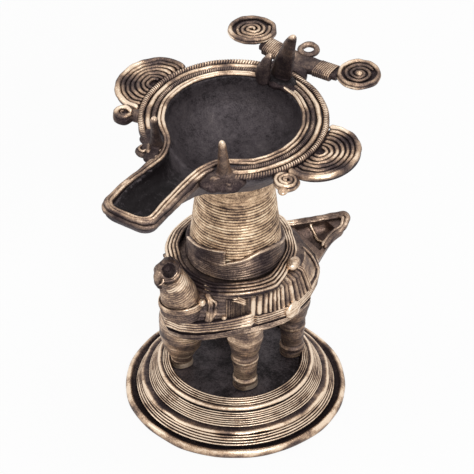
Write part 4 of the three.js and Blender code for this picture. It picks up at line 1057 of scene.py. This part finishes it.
def strip_point(angle, v, columns, low, high, over, skin):
    """A point of a strip that lies on the stem; skin(f) is its lift over the stem and its polish."""
    k = round(v * (columns + 3))
    if k > columns + 1:
        return polar(stem_radius(low) - 0.5, angle, low), 0
    if k == columns + 1:
        return polar(stem_radius(high) - 0.5, angle, high + over), 0
    f = min(1, k / columns)
    z = low + (high - low) * f
    lift, shine = skin(f)
    return polar(stem_radius(z) + lift, angle, z), shine


def wrap_place(u, v):
    rel = (u * 360 + FRONT_LEFT + 180) % 360 - 180
    lit = max(0, 1 - abs(rel - 30) / 90)

    def skin(f):
        crest = thread_height(f, 9, 0.6)
        edge = clamp((f - 0.88) / 0.04)
        shine = (0.26 + 0.26 * crest) * (1 - edge) + edge * (0.35 + 0.8 * lit)
        return 1.15 - 0.32 * (1 - crest) + 0.5 * edge, shine

    return strip_point(u * TAU, v, 72, 81.8, wrap_top(rel), 0.1, skin)


def flap_place(u, v):
    end = max(0, 1 - (1 - u) / 0.05)

    def skin(f):
        crest = thread_height(f, 7, 0.6)
        edge = max(end, clamp((f - 0.9) / 0.04))
        shine = (0.24 + 0.24 * crest) * (1 - edge) + 0.95 * edge
        return 1.5 - 0.3 * (1 - crest) + 0.3 * edge, shine

    angle = math.radians(-80 + 68 * u - FRONT_LEFT)
    return strip_point(angle, v, 48, 87.6 + 2.4 * u, 92.3 + 5.4 * u ** 0.8, 0, skin)


wrap = by_hand(rolled_sheet(240, 75, wrap_place), 0.16, 8, 1.3, 0.5)
flap = by_hand(rolled_sheet(80, 51, flap_place, capped=True), 0.14, 8, 1.3, 0.5)
lamp_piece(joined(wrap, flap), "stem_foot_wrap", brown, ["stem_wrap"])

# %% [markdown]
# ## The dish and its spout
# The oil dish is dark with burnt oil, and its wall flows into a spout that holds the
# wick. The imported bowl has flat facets. A copy of it is remeshed in small cells and
# smoothed, which rounds the facets, and the throat of the spout is smoothed once more.

# %% Smooth the bowl
DISH = Vector((0, -1.5, 156.0))
BOWL_CELL, BOWL_ROUNDS, THROAT_ROUNDS = 0.75, 12, 30


def on_dish(bm, name, finish, parts):
    return lamp_piece(bm, name, finish, parts, shift=DISH)


bm = remeshed(packed_copy("bowl"), BOWL_CELL, BOWL_ROUNDS)
throat = [v for v in bm.verts if -46 < v.co.y - DISH.y < -16 and abs(v.co.x) < 15 and v.co.z < DISH.z - 2.4
          and v.normal.z > 0.1]
for _ in range(THROAT_ROUNDS):
    bmesh.ops.smooth_vert(bm, verts=throat, factor=0.5, use_axis_x=True, use_axis_y=True, use_axis_z=True)
bm.normal_update()
polish = bm.verts.layers.float["polish"]
for v in bm.verts:
    local = v.co - DISH
    if v.normal.xy.dot(local.xy) < 0 or local.z > -1:
        oil_line = bell(local.z + 4.5, 2.2) if local.xy.length < 33 else 0
        v[polish] = clamp((local.y + 44) / 16) * (0.22 + 0.1 * clamp((-local.z - 2) / 8) + 0.08 * oil_line)
    else:
        v[polish] = 0.42 + 0.12 * math.sin(local.z * 3.2) * clamp((-local.z - 3) / 8)
    v.co += noise.noise_vector(v.co / 6) * 0.18
lamp_piece(bm, "cast_bowl", sooty, ["bowl"])

# %% [markdown]
# ## The rim
# Five threads run round the rim: a bright pair inside, a small rope, a plain thread and
# a thick rope outside. The inner pair doesn't stop at the spout but runs down one side
# of it, round the tip and back, so it is laid as one closed wire.

# %% Lay the rim's threads and ropes
SPOUT = [(-28.0, -14.7, 12.1, -1.2), (-33.0, -11.8, 8.0, -0.9), (-39.0, -10.5, 5.9, -0.1),
         (-50.0, -11.5, 5.3, 1.0), (-62.0, -12.9, 5.7, 2.0), (-72.0, -12.7, 6.6, 3.2),
         (-76.4, -12.0, 6.2, 3.7)]
TIP_DROP = 3.9
RIM_FLAT, RIM_RISE, RIM_WIDTH = 42.4, 1.9, 12.2


def rim_lift(radius):
    """The rim slopes up towards the bowl."""
    return RIM_RISE * (RIM_FLAT - radius) / RIM_WIDTH if radius < RIM_FLAT else 0


def arc(radius, a0, a1, z=0.0, step=3):
    count = max(2, round(abs(a1 - a0) / step))
    angles = (math.radians(a0 + (a1 - a0) * i / count) for i in range(count + 1))
    return [polar(radius, angle, z + rim_lift(radius)) for angle in angles]


def seated(x, y, drop, z):
    """A point on the spout's wall, or on the rim where the rim is higher."""
    return Vector((x, y, max(-drop, rim_lift(math.hypot(x, y))) + z))


def inner_line(offset, z):
    """Round the bowl, down the spout's right side, round its tip and back up its left."""
    points = arc(30.2 + offset, -42, 222, z)[::2]
    down = [seated(x0 - offset, y, drop, z) for y, x0, x1, drop in SPOUT]
    back = [seated(x1 + offset, y, drop, z) for y, x0, x1, drop in reversed(SPOUT)]
    end = [seated(x, y - offset * 0.8, TIP_DROP, z) for x, y in ((-9.6, -78.3), (-3.0, -78.9), (3.6, -78.2))]
    return smooth_path(points + down + end + back, 0.6, closed=True)


def dulled(bm, spout=(1, 1, 1)):
    """Darkens the threads round the spikes and horns, and on the spout by the given shares for its far wall,
    tip and near wall.
    """
    polish = bm.verts.layers.float["polish"]
    far_wall, tip, near_wall = spout
    for v in bm.verts:
        share = min(0.4 + 0.6 * max(0, (math.hypot(v.co.x - x, v.co.y - y) - 4) / reach)
                    for x, y, reach in ((19, -34, 15), (-19, -33, 11), (-3, 33, 10)))
        if v.co.y < -41:
            share = tip if v.co.y < -76 else (far_wall if v.co.x < 0 else near_wall)
        v[polish] *= min(1.0, share)
    return bm


inner_pair = []
for offset, z, rub, spout in ((0.85, 0.4, 1.05, (0.64, 0.62, 0.84)), (2.6, 0.3, 0.95, (0.55, 0.62, 0.92))):
    line = wire(inner_line(offset, z), 0.86, closed=True, sides=12, rub=rub)
    inner_pair.append(dulled(by_hand(line, 0.25, 6, 3, 0.6), spout))
on_dish(joined(*inner_pair), "rim_inner_threads", bright, ["rim_inner_band", "spout_inner_thread"])
small_rope = wire(arc(35.2, -57, 234, 0.5, 0.35), 1.15, sides=10, twist=1.0, bite=0.2, rub=0.85)
on_dish(dulled(by_hand(small_rope, 0.12, 8, 3, 0.4)), "rim_small_rope", brown, ["rim_inner_rope"])
plain = smooth_path([(14.8, -40.6, 0.9), (19.2, -36.0, 1.2)] + [tuple(p) for p in arc(37.8, -56, 236, 0.5)]
                    + [(-20.4, -35.6, 1.2), (-17.6, -40.4, 0.9)], 0.7)
plain = by_hand(wire(plain, 1.25, sides=12), 0.3, 6, 3, 0.6)
on_dish(dulled(plain), "rim_plain_winding", bright, ["rim_plain_thread"])
big_rope = wire(arc(40.9, -57, 237, 0.9, 0.35), 1.45, sides=12, twist=0.8, bite=0.2, rub=1.1)
on_dish(dulled(by_hand(big_rope, 0.2, 8, 3, 0.6)), "rim_big_rope", bright, ["rim_outer_rope"])

# %% [markdown]
# ## The spout's edging
# A flattened thread tops the spout's walls and goes round its tip, with a second one
# under it outside. A dark strip inside the wall closes the joint at the tip.

# %% Edge the spout
SPOUT_SIDES = [(-33.0, -16.9, 13.1, -0.9), (-39.0, -15.6, 11.0, -0.1), (-50.0, -15.6, 10.5, 1.0),
               (-62.0, -16.4, 10.8, 2.0), (-72.0, -16.2, 10.8, 3.2), (-76.8, -15.8, 10.8, 3.7)]
SPOUT_END = [(-14.8, -79.2, 3.9), (-12.4, -80.8, 4.0), (-8.0, -81.6, 4.1), (-2.0, -81.8, 4.1),
             (4.4, -81.4, 4.1), (7.8, -80.6, 4.0), (9.8, -79.0, 3.9)]


def outer_line(inset, z):
    left = [seated(x1 - inset, y, drop, z) for y, x0, x1, drop in SPOUT_SIDES]
    right = [seated(x0 + inset, y, drop, z) for y, x0, x1, drop in reversed(SPOUT_SIDES)]
    end = [seated(x * (1 - inset / 14), y + inset, drop, z) for x, y, drop in reversed(SPOUT_END)]
    return smooth_path(left + end + right, 0.6)


edge = by_hand(wire(outer_line(1.0, -0.2), 1.15, sides=14, rub=0.62, flat=0.9), 0.35, 5, 3, 0.9)
tilted = lambda p: Vector((p.x * 0.1, -0.4, 0.5)).normalized()
under = by_hand(wire(outer_line(0.2, -2.1), 1.2, up=tilted, sides=12, rub=0.5), 0.3, 5, 3, 0.7)
inside = wire(outer_line(1.5, -2.6), 0.9, sides=12, rub=0.03, flat=3.0)
on_dish(joined(edge, under, inside), "spout_edging", brown, ["spout_outer_thread"])

# %% [markdown]
# ## Volutes
# Outside the rim sit two half discs of wire that winds in towards the rim. A spiral is a
# radius that shrinks with the angle. Only the part outside the rim shows, so each turn
# is laid as its own arc on a thin dark plate.

# %% Wind the volutes
VOLUTE_CENTRE, VOLUTE_RADIUS, VOLUTE_PITCH, RIM_OUTSIDE = 44.0, 17.0, 2.3, 42.2
VOLUTE_SWELL = {1: lambda u: 1.3 - 0.4 * u + 0.1 * math.sin(u * 21), -1: lambda u: 1.15 - 0.1 * u}


def volute(side, middle, tall, reach):
    def at(radius, angle, z):
        return Vector((side * (VOLUTE_CENTRE + reach * radius * math.cos(angle)),
                       middle + tall * radius * math.sin(angle), z))

    parts = []
    for turn in range(8):
        points = []
        for i in range(61):
            r = VOLUTE_RADIUS - VOLUTE_PITCH * (turn + (i / 60) * 0.5)
            p = at(r, math.radians(-118 + 236 * i / 60), 0.75)
            if r >= 0.8 and p.xy.length > RIM_OUTSIDE:
                points.append(p)
        if len(points) < 4:
            continue
        if turn == 0:
            strand = wire(points, 1.2, up=HIGHLIGHT_SIDE, thin=VOLUTE_SWELL[side], rub=0.88)
        else:
            strand = wire(points, 0.9, up=HIGHLIGHT_SIDE, rub=0.56)
        parts.append(by_hand(strand, 0.4, 4, 3, 1.0))

    def plate_place(u, v):
        a = math.radians(-124 + 248 * u)
        z = 0.35 if v < 0.5 else -1.2
        if v in (0, 1):
            return Vector((side * 38.6, middle + tall * 14.0 * math.sin(a), z)), 0.03
        p = at(17.4 if v in (0.4, 0.6) else 16.6, a, z)
        return Vector((side * max(39.4, side * p.x), p.y, z)), 0.03

    return joined(*parts, rolled_sheet(48, 5, plate_place))


VOLUTES = ((1, "left_volute", 3.0, 1.13, 0.98), (-1, "right_volute", 2.0, 1.1, 0.9))
for side, name, middle, tall, reach in VOLUTES:
    on_dish(volute(side, middle, tall, reach), "wound_" + name, bright, [name])

# %% [markdown]
# ## Curls
# A small curl stands in front of each volute, and two more where the spout leaves the
# rim. Each is a coil of wire on a round pad. A lump of wax ties the outer two to the
# rim.


# %% Wind the curls
def spiral(centre, radius, turns, pitch, z, start=0.0, side=1):
    points = []
    for i in range(int(turns * 36) + 1):
        points.append(Vector((*centre, 0)) + polar(radius - pitch * i / 36, start + side * TAU * i / 36, z))
    return points


def pad(centre, radius, low, high, side_shine):
    middle = (low + high) / 2
    section = [(0, low, 0), (radius - 0.6, low, 0.1), (radius, low + 0.8, side_shine),
               (radius + 0.2, middle, side_shine), (radius, high - 0.4, side_shine),
               (radius - 0.6, high, 0.2), (radius - 0.9, high, 0.06), (0, high, 0.06)]
    bm = spun(section, 60, closed=False)
    bmesh.ops.translate(bm, vec=(*centre, 0), verts=bm.verts)
    return bm


NEAR_CURL, FAR_CURL = (43.2, -22.6), (-43.0, -23.2)
near_coil = wire(spiral(NEAR_CURL, 5.2, 2.5, 1.9, 1.6, 2.4), 0.95, up=HIGHLIGHT_SIDE, rub=1.1)
near_point = ball(1.9, (44.8, -27.8, 0.2), 0.8, (1.2, 1.8, 0.8), 20)
near_root = ball(3.0, (38.6, -20.2, 0.0), 0.3, (1.2, 1.2, 0.6))
near_curl = joined(near_coil, near_point, near_root, pad(NEAR_CURL, 5.7, -1.3, 1.2, 0.75))
on_dish(by_hand(near_curl, 0.25, 4, 3, 0.6), "wound_left_curl", bright, ["left_curl"])
far_ring = wire(spiral(FAR_CURL, 3.3, 1.0, 0.1, 1.4, 0.4, -1), 1.15, up=HIGHLIGHT_SIDE, sides=12, rub=0.82)
far_heart = wire(spiral(FAR_CURL, 1.5, 0.8, 0.6, 1.1, 0.4, -1), 0.6, up=HIGHLIGHT_SIDE, sides=8, rub=0.5)
far_root = ball(3.6, (-38.2, -19.6, -0.8), 0.3, (1.3, 1.1, 0.7))
far_curl = joined(far_ring, far_heart, far_root, pad(FAR_CURL, 4.6, -2.8, 0.9, 0.36))
on_dish(by_hand(far_curl, 0.35, 4, 3, 0.8), "wound_right_curl", bright, ["right_curl"])
JUNCTION_CURLS = (("left_junction_curl", (23.0, -37.4), 2.6, 0.45),
                  ("right_junction_curl", (-21.8, -38.4), 3.4, 0.8))
for name, centre, size, rub in JUNCTION_CURLS:
    coil = wire(spiral(centre, size - 0.8, 1.3, 1.1, 0.4), 0.7, up=HIGHLIGHT_SIDE, rub=rub)
    curl = by_hand(joined(pad(centre, size, -2.8, 0.1, 0.35), coil), 0.35, 3, 3, 0.5)
    on_dish(curl, "wound_" + name, brown, [name])

# %% [markdown]
# ## Spikes
# A slim spike stands on each side of the spout's mouth. Its tip is rubbed bright and its
# foot sits in a pool of dark brass that ran over the rim. The pool is a heap of flat
# balls, and one remesh flows it and the spike together.

# %% Set up the spikes
HORN_SIDES, HORN_ROWS = 24, 48


def horn(stations):
    """stations are (x, y, z, half width, half depth); the last one is the tip."""
    path = [Vector(s[:3]) for s in stations]
    sizes = [Vector(s[3:]) for s in stations]

    def place(u, v):
        k = min(len(path) - 2, int(u * (len(path) - 1)))
        t = u * (len(path) - 1) - k
        t = t * t * (3 - 2 * t) * 0.5 + t * 0.5
        wide, deep = sizes[k].lerp(sizes[k + 1], t)
        out = Vector((wide * math.cos(v * TAU), deep * math.sin(v * TAU), 0))
        return path[k].lerp(path[k + 1], t) + out, 0

    return rolled_sheet(HORN_ROWS, HORN_SIDES, place, capped=True)


def grown(stations, lumps, cell, rounds, shine_at):
    """A horn and round lumps flowed together; shine_at gives the polish of a point."""
    parts = [horn(stations)] + [ball(r, centre, 0, (1.1, 1.1, 0.6)) for r, *centre in lumps]
    bm = remeshed(joined(*parts), cell, rounds)
    polish = bm.verts.layers.float["polish"]
    for v in bm.verts:
        v[polish] = shine_at(v.co)
    return bm


def spike_shine(foot, top, body, tip):
    def shine_at(p):
        f = clamp((p.z - foot) / (top - foot))
        return 0.12 + (body - 0.12) * min(1, f * 3.2) + (tip - body) * max(0, (f - 0.84) / 0.16)

    return shine_at


near = [(18.0, -33.6, 1.6, 3.7, 3.4), (18.0, -34.1, 4.4, 3.2, 3.0), (18.2, -35.0, 8.5, 2.7, 2.6),
        (18.8, -36.3, 15, 2.2, 2.2), (19.3, -37.4, 20.6, 1.8, 1.8), (19.4, -37.9, 22.6, 1.3, 1.3),
        (19.5, -38.0, 23.4, 0.4, 0.4)]
near_melt = [(4.6, 17.8, -34.2, 0.4), (4.2, 21.6, -34.4, -0.1), (3.4, 25.0, -33.0, -0.8),
             (4.2, 15.6, -37.6, -0.6), (4.2, 19.6, -37.8, -1.8), (3.4, 13.6, -41.4, -1.3),
             (3.6, 23.6, -36.0, -2.0), (3.4, 16.2, -40.6, -2.6), (3.0, 19.6, -30.8, 0.8)]
near_spike = grown(near, near_melt, 0.4, 24, spike_shine(0.6, 22.8, 0.6, 1.1))
on_dish(by_hand(near_spike, 0.2, 3.5, 3.5, 0.3, 0.05), "near_spike", bright, ["left_spike"])
far = [(-17.8, -34.3, 1.0, 3.1, 3.1), (-17.7, -34.5, 4.0, 2.7, 2.7), (-17.5, -35.2, 8.0, 2.1, 2.1),
       (-17.1, -36.4, 13.5, 1.9, 1.9), (-16.8, -37.3, 17.8, 1.9, 1.9), (-16.7, -37.5, 19.4, 1.4, 1.4),
       (-16.7, -37.5, 20.2, 0.4, 0.4)]
far_melt = [(3.4, -18.4, -33.6, 1.2), (3.2, -21.8, -31.6, 1.2), (3.0, -24.8, -28.8, 1.1),
            (3.2, -20.8, -36.0, 0.1), (3.0, -17.0, -37.8, 0.3), (2.8, -16.4, -41.4, -0.4),
            (2.8, -24.8, -32.2, 0.2), (2.4, -26.6, -25.6, 1.0)]
far_spike = grown(far, far_melt, 0.4, 14, spike_shine(3.0, 19.6, 0.4, 1.05))
on_dish(by_hand(far_spike, 0.25, 3.5, 3.5, 0.4, 0.05), "far_spike", brown, ["right_spike"])

# %% [markdown]
# ## Horns
# At the back a tall and a short horn stand on a dark pad. They are stubby and black, and
# only their tips are rubbed. They are grown from stations and lumps as the spikes are.

# %% Set up the horns
def tall_shine(p):
    foot, tip = clamp((p.z - 3) / 4), max(0, (p.z - 27.4) / 2.2)
    return 0.02 + 0.16 * foot + 0.1 * max(0, (p.z - 16) / 14) + 0.75 * tip


def short_shine(p):
    foot, tip = clamp((p.z - 2) / 4), max(0, (p.z - 12.6) / 2.4)
    edge = 0.35 * max(0, -p.x - 4.0) / 4 * (p.z > 6)
    return 0.02 + 0.14 * foot + edge + 0.8 * tip


tall_stations = [(1.6, 35.2, 2.6, 4.8, 2.8), (2.0, 35.4, 5.0, 5.2, 3.0), (3.2, 35.0, 11, 4.9, 2.9),
                 (4.8, 34.7, 17, 4.1, 2.6), (6.6, 34.5, 24, 3.0, 2.1), (8.0, 34.4, 28.4, 2.0, 1.8),
                 (8.3, 34.4, 29.7, 1.0, 1.0)]
tall_melt = [(3.6, -2.6, 32.8, 1.6), (3.2, 6.4, 32.4, 1.5), (3.4, 2.0, 31.6, 1.4), (2.6, 9.6, 31.0, 1.3)]
tall_horn = by_hand(grown(tall_stations, tall_melt, 0.5, 6, tall_shine), 0.4, 5, 5, 0.6)
on_dish(tall_horn, "cast_tall_horn", brown, ["tall_horn"])
short_stations = [(-4.0, 29.6, 0.8, 3.4, 2.4), (-4.8, 30.4, 5.0, 3.9, 2.4), (-4.6, 31.0, 8.4, 3.4, 2.2),
                  (-3.6, 32.0, 12.2, 2.4, 1.9), (-2.9, 32.9, 14.4, 1.5, 1.3), (-2.6, 33.2, 15.4, 0.6, 0.6)]
short_melt = [(2.6, -5.2, 30.8, 2.2)]
short_horn = by_hand(grown(short_stations, short_melt, 0.5, 6, short_shine), 0.35, 5, 5, 0.6)
on_dish(short_horn, "cast_short_horn", brown, ["short_horn"])
seat_section = [(0, 1.2, 0), (0.98, 1.2, 0.1), (1.0, 2.2, 0.02), (0.9, 3.2, 0.02), (0.7, 3.8, 0.02),
                (0, 3.9, 0.02)]
seat = spun(seat_section, 48, closed=False)
bmesh.ops.scale(seat, vec=(9.0, 4.8, 1), verts=seat.verts)
bmesh.ops.translate(seat, vec=(1.5, 34.2, 0), verts=seat.verts)
on_dish(by_hand(seat, 0.4, 5, 5, 0.4), "horn_seat", sooty, ["horn_mount"])

# %% [markdown]
# ## The crossbar
# Behind the dish a bar runs across, bound with wire on each arm. The bar is one rolled
# sheet whose thickness changes along it, and the bindings are the same section, a little
# larger and ribbed.

# %% Build the crossbar
BAR = Vector((0, 50.2, 153.8))
BAR_HALF, BLOCK_HALF, ARM_END = 20.4, 9.4, 18.0


def bar_point(x, angle, grow=1.0):
    wide, thick = 4.8 * grow, 2.2 * grow
    c, s = math.cos(angle), math.sin(angle)
    return Vector((x, abs(x) * 0.1 + wide * math.copysign(abs(s) ** 0.6, s),
                   2.0 + thick * math.copysign(abs(c) ** 0.6, c)))


def bar_skin(u, v):
    x = -BAR_HALF + 2 * BAR_HALF * u
    grow = 1.0 if abs(x) < BLOCK_HALF else (0.8 if abs(x) < ARM_END else 0.7)
    # painted light and shade: the bar's top is painted lighter and its front face darker
    top = max(0, math.cos(v * TAU))
    front = max(0, -math.sin(v * TAU))
    grain = 0.12 * noise.noise(Vector((x / 1.2, v * 30, 2)))
    shine = 0.31 + 0.18 * top - 0.14 * front + grain if abs(x) < BLOCK_HALF else 0.12
    return bar_point(x, v * TAU, grow), shine


def on_bar(bm, name, finish, part):
    return lamp_piece(bm, name, finish, [part], shift=BAR)


def binding(side):
    def place(u, v):
        crest = thread_height(u, 9, 0.7)
        rise = 0.97 + 0.07 * crest if 0 < u < 1 else 0.7
        top = 0.45 + 0.55 * max(0, math.cos(v * TAU))
        lip = bell(abs(math.sin(v * TAU)) - 0.93, 0.06) * (math.cos(v * TAU) > 0)
        return bar_point(side * (BLOCK_HALF + 8.6 * u), v * TAU, rise), crest * (top * 0.7 + 0.26 * lip)

    return rolled_sheet(81, 40, place, capped=True)


bar = by_hand(rolled_sheet(120, 36, bar_skin, capped=True), 0.3, 3, 3, 0.6)
on_bar(bar, "cast_crossbar", brown, "crossbar")
for side, name in ((1, "left"), (-1, "right")):
    on_bar(by_hand(binding(side), 0.14, 5, 5, 0.5), name + "_arm_binding", bright, name + "_binding")

# %% [markdown]
# ## Spiral discs and the chain ring
# The bar ends in two discs, each a ring round a coil of wire on a thin plate, and the
# larger one leans back a little. A ring at the bar's middle takes a chain, and a short
# root joins the bar to the dish.

# %% Wind the discs, the ring and the root
DISC_Y = 6.3


def ring_of(radius, x, y, z, steps):
    return [Vector((x, y, 0)) + polar(radius, TAU * i / steps, z) for i in range(steps + 1)]


def disc(x, radius, turns, side, heart, tip):
    coil = [p for p in spiral((x, DISC_Y), radius - 3.1, turns, 2.35, 2.2, 1.0, side)
            if (p.xy - Vector((x, DISC_Y))).length > 0.5]
    parts = [wire(ring_of(radius - 1.2, x, DISC_Y, 2.4, 100), 1.05, up=HIGHLIGHT_SIDE, closed=True, sides=12, rub=0.7),
             wire(coil, 0.84, up=HIGHLIGHT_SIDE, sides=9, rub=0.54)]
    if heart:
        parts.append(ball(1.5, (x + 0.3, 6.1, 2.2), 0.8))
    section = [(0, 0.3, 0), (radius - 1, 0.3, 0.2), (radius - 0.2, 0.8, 0.6), (radius, 1.6, 0.8),
               (radius - 0.6, 2.2, 0.5), (radius - 2, 1.7, 0.04), (0, 1.6, 0.02)]
    plate = spun(section, 96, closed=False)
    bmesh.ops.translate(plate, vec=(x, DISC_Y, 0), verts=plate.verts)
    whole = by_hand(joined(*parts, plate), 0.35, 4, 4, 0.8)
    lean = Matrix.Rotation(math.radians(-tip), 3, Vector((0.83, 0.56, 0)))
    bmesh.ops.rotate(whole, cent=(x, DISC_Y, 1.0), matrix=lean, verts=whole.verts)
    bmesh.ops.translate(whole, vec=(0, 0, 1.3), verts=whole.verts)
    return whole


on_bar(disc(28.2, 9.9, 2.9, 1, True, 0), "left_spiral_disc", bright, "left_disc")
on_bar(disc(-29.0, 11.1, 3.4, -1, False, 7), "right_spiral_disc", bright, "right_disc")
ring = wire(ring_of(3.65, 0, 8.4, 3.4, 48), 1.35, up=HIGHLIGHT_SIDE, closed=True, sides=14, rub=0.6)
on_bar(by_hand(ring, 0.3, 3, 3, 0.6), "chain_ring", brown, "hanging_loop")
root = remeshed(packed_copy("crossbar_block"), 0.6, 8)
for v in root.verts:
    v[root.verts.layers.float["polish"]] = 0.14
lamp_piece(by_hand(root, 0.2, 3, 3, 0.4), "crossbar_root", brown, ["crossbar_block"])

# %% Write the two boxes and finish
plain_box = lambda pair: [[float(c) for c in corner] for corner in pair]
dressed_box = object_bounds()
{"packed": plain_box(cad_box), "dressed": plain_box(dressed_box)}
bpy.context.scene.view_settings.view_transform = "Standard"
print("packed", cad_box, "dressed", dressed_box)
